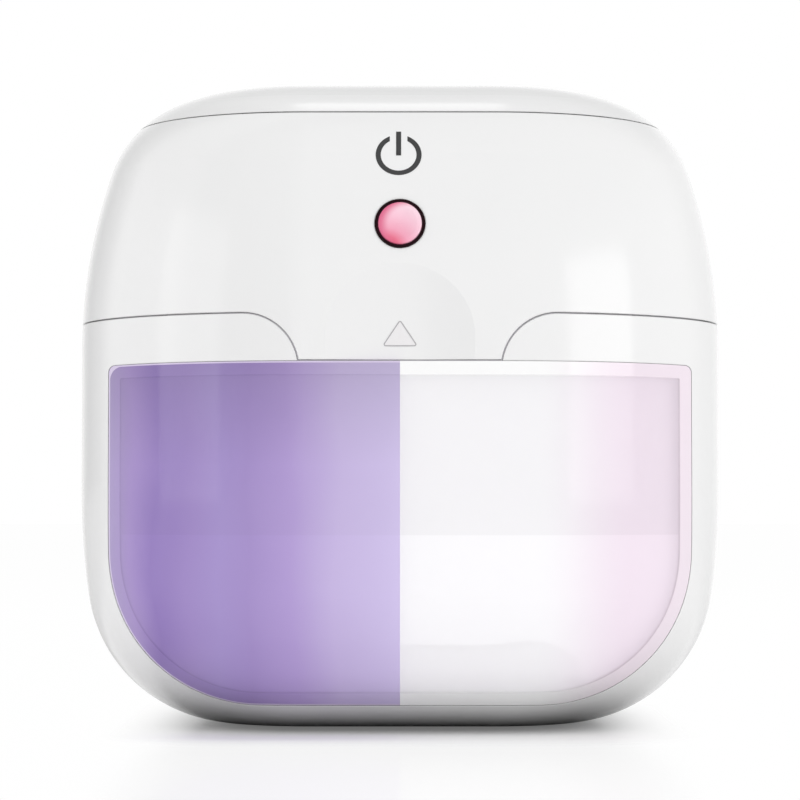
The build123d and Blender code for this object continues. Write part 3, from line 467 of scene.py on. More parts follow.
@dataclass(frozen=True)
class LitCap(Finish):
    """Translucent rose cap with a painted glow, as if a red indicator shone up through its lower edge.

    Attributes:
        painted_glow_at: Where the painted glow is centred, in the frame's metres.
        pale_at: Middle of the part that stays pale; away from it the cap deepens towards its rim, partly in
            painted shade, most at the left and below.
        reach_mm: Distance over which the glow fades.
        wall_and_shade_mm: Distance from pale_at where the deeper colour begins and where it is full.
        painted_glows: Painted glow colours from beside the light (0) to the far side (1).
        wall_and_shade: Colour of the cap's rim, partly its deeper rose seen through more plastic, partly
            painted shade where the rim turns from the light.
        roughness: Roughness of the polished face.
        strength: Strength of the painted glow.
    """

    name: str = "acrylic cap, polished, rose"
    painted_glow_at: Triple = (0.0, 0.0, 0.0)
    pale_at: Triple = (0.0, 0.0, 0.0)
    reach_mm: float = 7.0
    wall_and_shade_mm: Pair = (2.4, 3.7)
    painted_glows: tuple[tuple[float, str], ...] = (
        (0.08, "#DB3E5C"), (0.24, "#E66F8A"), (0.42, "#F0A4BB"), (0.7, "#F6C4D5"), (1.0, "#FADCE7")
    )
    wall_and_shade: str = "#DE6E90"
    roughness: float = 0.16
    strength: float = 0.08

    def surface(self, add: Adder, place: Socket) -> dict[str, Any]:
        """Adds the fading glow and the deeper wall, as Finish.surface says."""
        # Painted glow: deep red beside the indicator fading to pale rose, also given off as light.
        distance = add("ShaderNodeVectorMath", {0: place, 1: self.painted_glow_at}, operation="DISTANCE")
        share = add("ShaderNodeMapRange", {"Value": distance, "From Max": self.reach_mm * MM})
        ramp = add("ShaderNodeValToRGB", {"Fac": share})
        fill_ramp(ramp, [(position, linear(colour)) for position, colour in self.painted_glows])
        # Painted shade, with the deeper rose of thicker plastic: the cap darkens towards its rim, most at the
        # left and below.
        outwards = add("ShaderNodeVectorMath", {0: place, 1: self.pale_at}, operation="DISTANCE")
        wall_and_shade = add(
            "ShaderNodeMapRange",
            {"Value": outwards, "From Min": self.wall_and_shade_mm[0] * MM, "From Max": self.wall_and_shade_mm[1] * MM},
            interpolation_type="SMOOTHSTEP",
        )
        colour = add(
            "ShaderNodeMix",
            {"Factor_Float": wall_and_shade, "A_Color": ramp, "B_Color": linear(self.wall_and_shade)},
            data_type="RGBA",
        )
        return {
            "Base Color": colour,
            "Roughness": self.roughness,
            "IOR": IOR_ACRYLIC,
            "Emission Color": colour,
            "Emission Strength": self.strength,
        }


@dataclass(frozen=True)
class WorkedMetal(Finish):
    """Bare or plated metal with fine lines or grain from how its surface was made.

    Attributes:
        colour: Colour of the metal.
        roughness: Mean roughness.
        grain_mm: Width of the lines or grain, drawn coarser than real so that it shows.
        stretch: How many times longer than wide the lines are, along X.
        relief_mm: Depth of the lines.
        gloss_swing: Share by which the grain changes the roughness.
    """

    colour: str
    roughness: float
    grain_mm: float = 0.25
    stretch: float = 1.0
    relief_mm: float = 0.004
    gloss_swing: float = 0.2

    def surface(self, add: Adder, place: Socket) -> dict[str, Any]:
        """Adds the grain, as Finish.surface says."""
        lines = add("ShaderNodeMapping", {"Vector": place, "Scale": (1 / self.stretch, 1.0, 1.0)})
        grain = add("ShaderNodeTexNoise", {"Vector": lines, "Scale": 1000 / self.grain_mm, "Detail": 2.0})
        low, high = (self.roughness * (1 + side * self.gloss_swing) for side in (-1, 1))
        return {
            "Base Color": linear(self.colour),
            "Metallic": 1.0,
            "Roughness": add("ShaderNodeMapRange", {"Value": grain, "To Min": low, "To Max": high}),
            "Normal": add("ShaderNodeBump", {"Distance": self.relief_mm * MM, "Height": grain}),
        }


@dataclass(frozen=True)
class SoftSilicone(Finish):
    """Moulded silicone rubber: matte, with a fine bloom of lighter dust.

    Attributes:
        colour: Colour of the rubber.
        bloom: Colour of its dusty bloom.
        dust_mm: Size of the bloom's patches, drawn coarser than real so that they show.
        relief_mm: Height of the bloom.
        roughness: Roughness of the matte face.
        sheen: Soft pale sheen at its turned-away edges.
    """

    colour: str
    bloom: str
    dust_mm: float = 1.5
    relief_mm: float = 0.01
    roughness: float = 0.62
    sheen: float = 0.15

    def surface(self, add: Adder, place: Socket) -> dict[str, Any]:
        """Adds the bloom, as Finish.surface says."""
        dust, colour = self.mottled(add, place, self.dust_mm, 3.0, (self.colour, self.bloom))
        return {
            "Base Color": colour,
            "Roughness": self.roughness,
            "IOR": IOR_SILICONE,
            "Sheen Weight": self.sheen,
            "Normal": add("ShaderNodeBump", {"Distance": self.relief_mm * MM, "Height": dust}),
        }


@dataclass(frozen=True)
class CircuitLaminate(Finish):
    """Glass-epoxy circuit board under solder mask, with traces as a faint lighter grid.

    Attributes:
        mask: Colour of the solder mask.
        trace: Colour of the mask where copper lies under it.
        pitch_mm: Spacing of the traces.
        trace_share: Width of a trace as a share of the spacing.
        relief_mm: Height of the traces.
        roughness: Roughness of the mask.
        coat: Weight of its clear, glossy top.
    """

    mask: str
    trace: str
    pitch_mm: float = 1.6
    trace_share: float = 0.06
    relief_mm: float = 0.02
    roughness: float = 0.32
    coat: float = 0.3

    def surface(self, add: Adder, place: Socket) -> dict[str, Any]:
        """Adds the grid of traces, as Finish.surface says."""
        cells = add(
            "ShaderNodeTexBrick",
            {
                "Vector": place,
                "Color1": linear(self.mask),
                "Color2": linear(self.mask),
                "Mortar": linear(self.trace),
                "Scale": 1000 / self.pitch_mm,
                "Mortar Size": self.trace_share,
            },
        )
        relief = {"Distance": self.relief_mm * MM, "Height": cells.outputs["Fac"]}
        return {
            "Base Color": cells.outputs["Color"],
            "Roughness": self.roughness,
            "Coat Weight": self.coat,
            "Normal": add("ShaderNodeBump", relief),
        }


@dataclass(frozen=True)
class LampGlass(Finish):
    """Polished quartz window: clear, with a faint violet cast.

    Attributes:
        colour: Colour of the little that the glass covers.
        haze_per_m: Patches of haze in a metre.
        cover: Least and most that the glass covers.
        roughness: Roughness of the polish.
    """

    name: str = "quartz glass, polished"
    colour: str = "#D9D2F2"
    haze_per_m: float = 300.0
    cover: Pair = (0.16, 0.24)
    roughness: float = 0.05

    def surface(self, add: Adder, place: Socket) -> dict[str, Any]:
        """Adds the haze, as Finish.surface says."""
        haze = add("ShaderNodeTexNoise", {"Vector": place, "Scale": self.haze_per_m})
        cover = {"Value": haze, "To Min": self.cover[0], "To Max": self.cover[1]}
        return {
            "Base Color": linear(self.colour),
            "Roughness": self.roughness,
            "IOR": IOR_QUARTZ,
            "Alpha": add("ShaderNodeMapRange", cover),
        }


@dataclass(frozen=True)
class PrintedInk(Finish):
    """Pad-printed ink: one colour with a slightly uneven cover.

    Attributes:
        colour: Colour of the ink.
        thin: Colour where the ink lies thinner.
        cover_mm: Size of the thinner patches.
        roughness: Roughness of the dry ink.
        specular: Level of its mirror part.
    """

    colour: str
    thin: str
    cover_mm: float = 0.6
    roughness: float = 0.45
    specular: float = 0.3

    def surface(self, add: Adder, place: Socket) -> dict[str, Any]:
        """Adds the uneven cover, as Finish.surface says."""
        _, colour = self.mottled(add, place, self.cover_mm, 3.0, (self.colour, self.thin))
        return {
            "Base Color": colour,
            "Roughness": self.roughness,
            "IOR": IOR_PLASTIC,
            "Specular IOR Level": self.specular,
        }


@dataclass(frozen=True)
class LampDie(Finish):
    """Face of a lamp's emitter: pale phosphor whose grains glow a little unevenly.

    Attributes:
        colour: Colour of the brighter grains.
        dim: Colour of the others.
        strength: Strength of the glow.
        grain_mm: Size of the grains, drawn coarser than real so that they show.
        roughness: Roughness of the cast face.
    """

    name: str = "phosphor, cast, glowing violet"
    colour: str = "#E9E2FF"
    dim: str = "#CFC4F4"
    strength: float = 1.2
    grain_mm: float = 0.12
    roughness: float = 0.4

    def surface(self, add: Adder, place: Socket) -> dict[str, Any]:
        """Adds the glowing grains, as Finish.surface says."""
        grains = add("ShaderNodeTexVoronoi", {"Vector": place, "Scale": 1000 / self.grain_mm})
        far = grains.outputs["Distance"]
        colour = add(
            "ShaderNodeMix",
            {"Factor_Float": far, "A_Color": linear(self.colour), "B_Color": linear(self.dim)},
            data_type="RGBA",
        )
        return {
            "Base Color": colour,
            "Roughness": self.roughness,
            "Emission Color": colour,
            "Emission Strength": self.strength,
        }


def new_object(name: str, mesh: Mesh) -> Piece:
    """Links a mesh to the scene as an object at the origin.

    Args:
        name: Name of the piece.
        mesh: Its mesh, in the frame's place.

    Returns:
        The object.
    """
    piece = bpy.data.objects.new(name, mesh)
    bpy.context.scene.collection.objects.link(piece)
    return piece


def to_mesh(name: str, shape: bmesh.types.BMesh) -> Mesh:
    """Turns a shape being worked on into a mesh, and frees it.

    Args:
        name: Name of the mesh.
        shape: The shape.

    Returns:
        The mesh.
    """
    mesh = bpy.data.meshes.new(name)
    shape.to_mesh(mesh)
    shape.free()
    return mesh


def settle(piece: Piece, body: Body, material: Material, stands_for: Sequence[str] = ()) -> None:
    """Gives a finished piece its material and body, and hides the CAD nodes that it stands for.

    Args:
        piece: The finished piece.
        body: Body that it rides on.
        material: Its finish.
        stands_for: CAD nodes that it replaces.
    """
    piece.data.materials.clear()
    piece.data.materials.append(material)
    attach(piece, body.value)
    if stands_for:
        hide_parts(*stands_for)
    LOG.info("%s: %d faces on %s", piece.name, len(piece.data.polygons), body.value)


def dress(names: Sequence[str], finish: Finish) -> None:
    """Puts a finish on CAD nodes that keep their own shape.

    Args:
        names: The nodes.
        finish: Their finish.
    """
    material = finish.build()
    for name in names:
        mesh = frame["nodes"][name].data
        mesh.materials.clear()
        mesh.materials.append(material)
        LOG.info("%s: CAD shape with %s", name, material.name)


def row_start(count: int, pitch: float) -> float:
    """Returns where a row begins that lies evenly about zero.

    Args:
        count: Number of things in the row.
        pitch: Spacing of their centres.

    Returns:
        Place of the first centre.
    """
    return -(count - 1) / 2 * pitch


@dataclass(frozen=True)
class BlockRows:
    """Small equal blocks with bevelled edges, in rows.

    Attributes:
        name: Name of the piece that they make.
        size: Sides of one block.
        bevel: Width of its bevel.
        start: Centre of the first block.
        along: Step and count of the first direction.
        across: Step and count of the second direction.
    """

    name: str
    size: Triple
    bevel: float
    start: Triple
    along: tuple[Triple, int]
    across: tuple[Triple, int]

    def block(self) -> Mesh:
        """Returns the mesh of one block, centred on the origin."""
        shape = bmesh.new()
        bmesh.ops.create_cube(shape, size=1.0)
        bmesh.ops.scale(shape, vec=Vector(self.size), verts=shape.verts)
        bmesh.ops.bevel(
            shape,
            geom=shape.edges[:],
            offset=self.bevel,
            segments=2,
            affect="EDGES",
            profile=0.5,
            clamp_overlap=True,
        )
        return to_mesh("block", shape)


class RowPattern:
    """Geometry Nodes tree that repeats a small block in rows."""

    def __init__(self) -> None:
        """Builds the tree with its named inputs."""
        self.tree = bpy.data.node_groups.new("rows of small blocks", "GeometryNodeTree")
        self.tree.is_modifier = True
        face = self.tree.interface
        kinds = {
            "Block": "NodeSocketObject",
            "Start": "NodeSocketVector",
            "Step Along": "NodeSocketVector",
            "Step Across": "NodeSocketVector",
            "Count Along": "NodeSocketInt",
            "Count Across": "NodeSocketInt",
            "Finish": "NodeSocketMaterial",
        }
        face.new_socket("Geometry", in_out="INPUT", socket_type="NodeSocketGeometry")
        self.ids = {
            name: face.new_socket(name, in_out="INPUT", socket_type=kind).identifier
            for name, kind in kinds.items()
        }
        face.new_socket("Geometry", in_out="OUTPUT", socket_type="NodeSocketGeometry")
        add = partial(add_node, self.tree)
        given = add("NodeGroupInput").outputs
        along = add(
            "GeometryNodeMeshLine",
            {"Count": given["Count Along"], "Start Location": given["Start"], "Offset": given["Step Along"]},
        )
        across = add(
            "GeometryNodeMeshLine", {"Count": given["Count Across"], "Offset": given["Step Across"]}
        )
        rows = add("GeometryNodeInstanceOnPoints", {"Points": along, "Instance": across})
        points = add("GeometryNodeRealizeInstances", {"Geometry": rows})
        block = add("GeometryNodeObjectInfo", {"Object": given["Block"]}).outputs["Geometry"]
        blocks = add("GeometryNodeInstanceOnPoints", {"Points": points, "Instance": block})
        solid = add("GeometryNodeRealizeInstances", {"Geometry": blocks})
        finished = add("GeometryNodeSetMaterial", {"Geometry": solid, "Material": given["Finish"]})
        add("NodeGroupOutput", {"Geometry": finished})

    def bake(self, rows: BlockRows, material: Material) -> Piece:
        """Makes one plain mesh object of repeated blocks.

        Args:
            rows: The blocks and how they lie.
            material: Their finish.

        Returns:
            The finished object.
        """
        pattern = bpy.data.objects.new("pattern block", rows.block())
        piece = new_object(rows.name, bpy.data.meshes.new(rows.name))
        modifier = piece.modifiers.new("rows", "NODES")
        modifier.node_group = self.tree
        values = {
            "Block": pattern,
            "Start": Vector(rows.start),
            "Step Along": Vector(rows.along[0]),
            "Step Across": Vector(rows.across[0]),
            "Count Along": rows.along[1],
            "Count Across": rows.across[1],
            "Finish": material,
        }
        for key, value in values.items():
            modifier[self.ids[key]] = value
        evaluated = piece.evaluated_get(bpy.context.evaluated_depsgraph_get())
        mesh = bpy.data.meshes.new_from_object(evaluated)
        piece.modifiers.remove(modifier)
        piece.data = mesh
        bpy.data.objects.remove(pattern)
        for face in mesh.polygons:
            face.use_smooth = True
        return piece


@dataclass
class Casing:
    """The white shells, the window, the chamber and the seals."""

    shell: MouldedPlastic = MouldedPlastic("ABS, moulded, gloss white", "#F4F4F4", "#F2F2F2", 0.15)
    cover: MouldedPlastic = MouldedPlastic("ABS, moulded, gloss white, cover", "#F3F3F3", "#F1F1F1", 0.15)
    # The chamber liner gives off a painted glow that stands in for the chamber's lamps lighting it; the lid
    # liner is the same pearl without that glow, a hair darker.
    liner: MouldedPlastic = MouldedPlastic(
        "polystyrene, moulded, pearl", "#F1EFF3", "#EFEDF1", 0.36, 0.3, painted_glow=0.16
    )
    lid_liner: MouldedPlastic = MouldedPlastic(
        "polystyrene, moulded, pearl, unlit", "#EFEDF1", "#EDEBEF", 0.36, 0.3
    )
    pane: TintedPane = TintedPane()
    gasket: SoftSilicone = SoftSilicone("silicone, moulded, white", "#E6E6EA", "#F0F0F3")
    reflector: WorkedMetal = WorkedMetal("aluminium, satin, bright", "#DDD8E0", 0.24, 0.3, 12.0)

    def build(self) -> None:
        """Dresses the shells, window, liners, reflector and gasket."""
        dress(["base_shell", "lid_shell"], self.shell)
        dress(["top_cover"], self.cover)
        dress(["chamber_liner"], self.liner)
        dress(["lid_liner"], self.lid_liner)
        dress(["front_window"], self.pane)
        dress(["lid_gasket"], self.gasket)
        dress(["floor_reflector"], self.reflector)


@dataclass
class FootPad:
    """Silicone pad under the base, with rows of grip ridges on its face."""

    ridge_height: float = 0.3 * MM
    ridge_width: float = 0.9 * MM
    ridge_pitch: float = 1.8 * MM
    side_margin: float = 3.0 * MM
    corner_r: float = 6.0 * MM
    corner_steps: int = 8
    rubber: SoftSilicone = SoftSilicone("silicone, moulded, grey", "#4C4C50", "#66666A")

    def slab(self, low: Vector, high: Vector) -> Mesh:
        """Makes the pad's body above its ridges.

        Args:
            low: Lowest corner of the pad.
            high: Highest corner of the pad.

        Returns:
            Mesh of the body.
        """
        shape = bmesh.new()
        ring = []
        right, left = high.x - self.corner_r, low.x + self.corner_r
        rear, front = high.y - self.corner_r, low.y + self.corner_r
        for quarter, (x, y) in enumerate(((right, rear), (left, rear), (left, front), (right, front))):
            for step in range(self.corner_steps + 1):
                turn = math.radians(90 * (quarter + step / self.corner_steps))
                point = (x + self.corner_r * math.cos(turn), y + self.corner_r * math.sin(turn))
                ring.append(shape.verts.new((*point, low.z + self.ridge_height)))
        raised = bmesh.ops.extrude_face_region(shape, geom=[shape.faces.new(ring)])
        tops = [v for v in raised["geom"] if isinstance(v, bmesh.types.BMVert)]
        bmesh.ops.translate(shape, vec=(0, 0, high.z - low.z - self.ridge_height), verts=tops)
        bmesh.ops.recalc_face_normals(shape, faces=shape.faces)
        return to_mesh("pad body", shape)

    def build(self, pattern: RowPattern) -> None:
        """Makes the pad and its ridges.

        Args:
            pattern: Pattern that repeats the ridges.
        """
        rubber = self.rubber.build()
        low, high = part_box("foot_pad")
        body = new_object("foot_pad_body", self.slab(low, high))
        middle = (low + high) / 2
        count = int((high.y - low.y - 2 * self.corner_r) / self.ridge_pitch) + 1
        # A ridge reaches as far into the body as it stands out of it.
        height = self.ridge_height * 2
        ridges = BlockRows(
            "foot_pad_ridges",
            (high.x - low.x - 2 * self.side_margin, self.ridge_width, height),
            self.ridge_height / 2,
            (middle.x, middle.y + row_start(count, self.ridge_pitch), low.z + height / 2),
            ((0, self.ridge_pitch, 0), count),
            ((0, 0, 1), 1),
        )
        settle(body, Body.BASE, rubber, ["foot_pad"])
        settle(pattern.bake(ridges, rubber), Body.BASE, rubber)


@dataclass
class ButtonUnit:
    """Power button, its bezel and the parts that it works.

    Attributes:
        glow_drop: How far below the button's middle the painted glow of the red light is centred.
        glow_left: How far to the left of it.
        pale_rise: How far above the button's middle its palest part lies, away from which the painted shade
            deepens.
        pale_right: How far to the right of it.
        ring: Finish of the bezel.
        package: Finish of the small black parts.
        red: Finish of the indicator.
    """

    glow_drop: float = 2.9 * MM
    glow_left: float = 1.7 * MM
    pale_rise: float = 0.5 * MM
    pale_right: float = 0.9 * MM
    ring: MouldedPlastic = MouldedPlastic(
        "ABS, moulded, maroon black", "#240810", "#1C050B", 0.3, 0.12, edge_mm=0.06
    )
    package: MouldedPlastic = MouldedPlastic("epoxy, moulded, black", "#1C1C20", "#242428", 0.5, edge_mm=0.05)
    red: LampDie = LampDie("phosphor, cast, glowing red", "#FF4A5E", "#E83A50", 0.6)

    def build(self) -> None:
        """Dresses the button, ring, plunger, controller chip, lid sensor and indicator."""
        low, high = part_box("power_button")
        middle_z = (low.z + high.z) / 2
        glow = (-self.glow_left, low.y, middle_z - self.glow_drop)
        pale = (self.pale_right, low.y, middle_z + self.pale_rise)
        dress(["power_button"], LitCap(painted_glow_at=glow, pale_at=pale))
        dress(["button_ring"], self.ring)
        dress(["switch_plunger", "controller_chip", "lid_sensor"], self.package)
        dress(["indicator_led"], self.red)


@dataclass
class FrontMarks:
    """Printed power sign and triangle mark, laid on the lid's front.

    Attributes:
        ink_t: How far the ink stands on the plastic.
        sign_x: Place of the sign's middle across the front.
        sign_z: Height of the sign's ring centre.
        ring_half_w: Outer half width of the ring.
        ring_half_h: Outer half height of the ring in front view; the lid's face leans back there.
        stroke: Width of the ring's and bar's stroke.
        stroke_lean: Share of the stroke that its height keeps in front view.
        gap_half_w: Half the gap at the ring's top.
        bar_low: Foot of the bar above the ring's centre.
        bar_high: Head of the bar above the ring's centre.
        apex_z: Height of the triangle's apex.
        foot_z: Height of its lower side.
        half_w: Half its width.
        corner_r: Round of its corners.
        line_w: Width of its outline.
        ink: Finish of the sign.
        line: Finish of the triangle's outline.
        fill: Finish of its inside.
        skin: The lid's face, which is read when the marks are made.
    """

    ink_t: float = 0.03 * MM
    sign_x: float = -0.19 * MM
    sign_z: float = 79.1 * MM
    ring_half_w: float = 3.12 * MM
    ring_half_h: float = 2.88 * MM
    stroke: float = 0.69 * MM
    stroke_lean: float = 0.92
    gap_half_w: float = 1.2 * MM
    bar_low: float = -0.1 * MM
    bar_high: float = 3.35 * MM
    apex_z: float = 56.5 * MM
    foot_z: float = 52.85 * MM
    half_w: float = 2.45 * MM
    corner_r: float = 0.28 * MM
    line_w: float = 0.16 * MM
    ink: PrintedInk = PrintedInk("ink, printed, grey", "#414142", "#474748")
    line: PrintedInk = PrintedInk("ink, printed, light grey", "#B3B1B3", "#BCBABC")
    fill: PrintedInk = PrintedInk("ink, printed, pale grey", "#F0EEEF", "#F2F0F1")
    skin: BVHTree = field(init=False)

    def __post_init__(self) -> None:
        """Reads the lid's face, on which the ink lies."""
        mesh = frame["nodes"]["lid_shell"].data
        self.skin = BVHTree.FromPolygons([v.co for v in mesh.vertices], [p.vertices for p in mesh.polygons])

    def face_y(self, x: float, z: float) -> float:
        """Returns the y of the lid's front face at a place in front view."""
        hit = self.skin.ray_cast(Vector((x, -1.0, z)), Vector((0, 1, 0)))
        return hit[0].y

    def lay(self, name: str, strips: Sequence[Sequence[Sequence[Pair]]], ink_t: float) -> Piece:
        """Lays flat strips on the lid's face and gives them the ink's thickness.

        Args:
            name: Name of the piece.
            strips: Each a grid of rows of equal length, as (x, z) places; two rows or more.
            ink_t: Thickness of the ink.

        Returns:
            The finished object.
        """
        shape = bmesh.new()
        for rows in strips:
            grid = [[shape.verts.new((x, self.face_y(x, z) - ink_t, z)) for x, z in row] for row in rows]
            for upper, lower in zip(grid, grid[1:]):
                for i in range(len(upper) - 1):
                    shape.faces.new((upper[i], upper[i + 1], lower[i + 1], lower[i]))
        bmesh.ops.remove_doubles(shape, verts=shape.verts, dist=1e-7)
        bmesh.ops.recalc_face_normals(shape, faces=shape.faces)
        if sum(f.normal.y for f in shape.faces) > 0:
            bmesh.ops.reverse_faces(shape, faces=shape.faces)
        raised = bmesh.ops.extrude_face_region(shape, geom=shape.faces[:], use_keep_orig=True)
        backs = [v for v in raised["geom"] if isinstance(v, bmesh.types.BMVert)]
        bmesh.ops.translate(shape, vec=(0, 2 * ink_t, 0), verts=backs)
        bmesh.ops.recalc_face_normals(shape, faces=shape.faces)
        return new_object(name, to_mesh(name, shape))

    def ring_rows(self, steps: int = 72) -> list[list[Pair]]:
        """Returns the inner and outer line of the open ring, cut upright at its gap."""
        inner = (self.ring_half_w - self.stroke, self.ring_half_h - self.stroke * self.stroke_lean)
        rows = []
        for half_w, half_h in (inner, (self.ring_half_w, self.ring_half_h)):
            start = math.acos(self.gap_half_w / half_w)
            sweep = math.pi + 2 * start
            turns = [start - sweep * i / steps for i in range(steps + 1)]
            rows.append(
                [(self.sign_x + half_w * math.cos(t), self.sign_z + half_h * math.sin(t)) for t in turns]
            )
        return rows

    def bar_rows(self, steps: int = 8) -> list[list[Pair]]:
        """Returns the two sides of the sign's bar."""
        low, rise = self.sign_z + self.bar_low, (self.bar_high - self.bar_low) / steps
        heights = [low + rise * i for i in range(steps + 1)]
        return [[(self.sign_x + side * self.stroke / 2, z) for z in heights] for side in (-1, 1)]

    def triangle_ring(self, inset: float, steps: int = 6) -> list[Pair]:
        """Returns a rounded triangle's outline.

        Args:
            inset: How far the outline lies inside the mark's edge.
            steps: Divisions of each rounded corner.

        Returns:
            Closed outline as (x, z) places, the first point repeated at the end.
        """
        corners = [
            Vector(place)
            for place in ((0.0, self.apex_z), (self.half_w, self.foot_z), (-self.half_w, self.foot_z))
        ]
        outline = []
        for i, here in enumerate(corners):
            before, after = corners[i - 1] - here, corners[(i + 1) % 3] - here
            inwards = (before.normalized() + after.normalized()).normalized()
            middle = here + inwards * (self.corner_r / math.sin(before.angle(after) / 2))
            first, last = (
                side.normalized() * math.copysign(1.0, side.dot(here - middle))
                for side in (Vector((-before.y, before.x)), Vector((after.y, -after.x)))
            )
            turn = first.angle_signed(last)
            for step in range(steps + 1):
                direction = Matrix.Rotation(-turn * step / steps, 2) @ first
                outline.append(tuple(middle + direction * (self.corner_r - inset)))
        outline.append(outline[0])
        return outline

    def build(self) -> None:
        """Lays the sign and the mark on the lid."""
        sign = self.lay("power_sign", [self.ring_rows(), self.bar_rows()], self.ink_t)
        settle(sign, Body.LID, self.ink.build())
        edge, inner = self.triangle_ring(0.0), self.triangle_ring(self.line_w)
        middle = (0.0, (self.apex_z + 2 * self.foot_z) / 3)
        outline = self.lay("triangle_outline", [[edge, inner]], self.ink_t)
        settle(outline, Body.LID, self.line.build())
        fill = self.lay("triangle_fill", [[inner, [middle] * len(inner)]], self.ink_t / 2)
        settle(fill, Body.LID, self.fill.build())


@dataclass
class Electronics:
    """Boards, battery, socket, screws and magnets, with their small repeated parts.

    Attributes:
        contact_size: Sides of one of the socket's contacts.
        contact_pitch: Their spacing, as the plug has it.
        contact_count: How many lie on each face of the tongue.
        contact_side: Height of a row of contacts above or below the tongue's middle.
        contact_back: How far they lie behind the socket's mouth.
        die_size: Sides of one emitter die.
        die_pitch: Spacing of the dies.
        die_count: How many lie in a row of a lamp.
        die_rise: Height of their centres above the lamp's lower face.
        leg_size: Sides of one of the controller's legs.
        leg_pitch: Spacing of the legs.
        leg_count: How many are on each side.
        passive_size: Sides of one resistor or capacitor.
        passive_from: How far the first lies from the chip's corner, to the right and to the rear.
        passive_pitch: Their spacing along and across.
        passive_count: How many there are along and across.
    """

    contact_size: Triple = (0.26 * MM, 4.5 * MM, 0.08 * MM)
    contact_pitch: float = 0.5 * MM
    contact_count: int = 12
    contact_side: float = 0.35 * MM
    contact_back: float = 0.6 * MM
    die_size: Triple = (0.42 * MM, 0.42 * MM, 0.12 * MM)
    die_pitch: float = 0.62 * MM
    die_count: int = 3
    die_rise: float = 0.22 * MM
    leg_size: Triple = (0.3 * MM, 0.9 * MM, 0.2 * MM)
    leg_pitch: float = 0.8 * MM
    leg_count: int = 8
    passive_size: Triple = (1.6 * MM, 0.8 * MM, 0.6 * MM)
    passive_from: Pair = (6 * MM, 1 * MM)
    passive_pitch: Pair = (3.2 * MM, 2.0 * MM)
    passive_count: tuple[int, int] = (7, 3)

    def build(self, pattern: RowPattern) -> None:
        """Dresses the boards and makes contacts, emitter dies, legs and passive parts.

        Args:
            pattern: Pattern that repeats small blocks.
        """
        dress(["usb_socket", "tact_switch"], WorkedMetal("steel, plated, satin", "#B9B9BF", 0.3))
        dress(
            ["liner_screws", "main_board_screws", "led_board_screws", "button_board_screws"],
            WorkedMetal("steel, zinc plated", "#A9A9B0", 0.32, 0.4),
        )
        dress(["hinge_pin"], WorkedMetal("steel, ground", "#BDBDC2", 0.25, 0.12, 0.2))
        dress(["base_magnets", "lid_magnets"], WorkedMetal("nickel, plated", "#C2BFB8", 0.18))
        dress(["battery"], WorkedMetal("aluminium foil, pouch", "#C4C6CC", 0.38, 2.5, 1.0, 0.05))
        dress(["main_board", "button_board"], CircuitLaminate("laminate, green mask", "#1B6B3A", "#2E8450"))
        dress(["uv_led_board"], CircuitLaminate("laminate, white mask", "#ECECEA", "#DCDCD8"))
        dress(["battery_pad"], SoftSilicone("foam tape, pale", "#D5D5CF", "#DEDED9"))
        dress(["led_windows"], LampGlass())
        dress(["uv_leds"], MouldedPlastic("ceramic, pressed, ivory", "#EFEAD6", "#ECE6D0", 0.5, edge_mm=0.05))
        for make in (self.contacts, self.dies, self.legs, self.passives):
            make(pattern)

    def contacts(self, pattern: RowPattern) -> None:
        """Makes the gold contacts on both faces of the charging socket's tongue."""
        low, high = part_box("usb_socket")
        gold = WorkedMetal("copper alloy, gold plated", "#E2BE6A", 0.2).build()
        rows = BlockRows(
            "socket_contacts",
            self.contact_size,
            0.02 * MM,
            (
                row_start(self.contact_count, self.contact_pitch),
                high.y - self.contact_size[1] / 2 - self.contact_back,
                (low.z + high.z) / 2 - self.contact_side,
            ),
            ((self.contact_pitch, 0, 0), self.contact_count),
            ((0, 0, 2 * self.contact_side), 2),
        )
        settle(pattern.bake(rows, gold), Body.LID, gold)

    def dies(self, pattern: RowPattern) -> None:
        """Makes the emitter dies in each lamp's cup."""
        low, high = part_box("uv_leds")
        lamp_w = high.y - low.y
        first = row_start(self.die_count, self.die_pitch)
        glow = LampDie().build()
        for side, x in (("left", low.x + lamp_w / 2), ("right", high.x - lamp_w / 2)):
            rows = BlockRows(
                f"emitter_dies_{side}",
                self.die_size,
                0.03 * MM,
                (x + first, (low.y + high.y) / 2 + first, low.z + self.die_rise),
                ((self.die_pitch, 0, 0), self.die_count),
                ((0, self.die_pitch, 0), self.die_count),
            )
            settle(pattern.bake(rows, glow), Body.LID, glow)

    def legs(self, pattern: RowPattern) -> None:
        """Makes the controller's legs on two sides."""
        low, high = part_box("controller_chip")
        length, thickness = self.leg_size[1:]
        tin = WorkedMetal("copper alloy, tinned", "#C9C9CC", 0.35).build()
        rows = BlockRows(
            "controller_legs",
            self.leg_size,
            0.04 * MM,
            (
                (low.x + high.x) / 2 + row_start(self.leg_count, self.leg_pitch),
                low.y - length / 2,
                low.z + thickness / 2,
            ),
            ((self.leg_pitch, 0, 0), self.leg_count),
            ((0, high.y - low.y + length, 0), 2),
        )
        settle(pattern.bake(rows, tin), Body.LID, tin)

    def passives(self, pattern: RowPattern) -> None:
        """Makes the small resistors and capacitors beside the controller."""
        low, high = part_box("controller_chip")
        right, rear = self.passive_from
        tan = MouldedPlastic("ceramic, fired, tan", "#8C6A4C", "#7C5C40", 0.5, edge_mm=0.05).build()
        rows = BlockRows(
            "board_passives",
            self.passive_size,
            0.08 * MM,
            (high.x + right, low.y + rear, low.z + self.passive_size[2] / 2),
            ((self.passive_pitch[0], 0, 0), self.passive_count[0]),
            ((0, self.passive_pitch[1], 0), self.passive_count[1]),
        )
        settle(pattern.bake(rows, tan), Body.LID, tan)


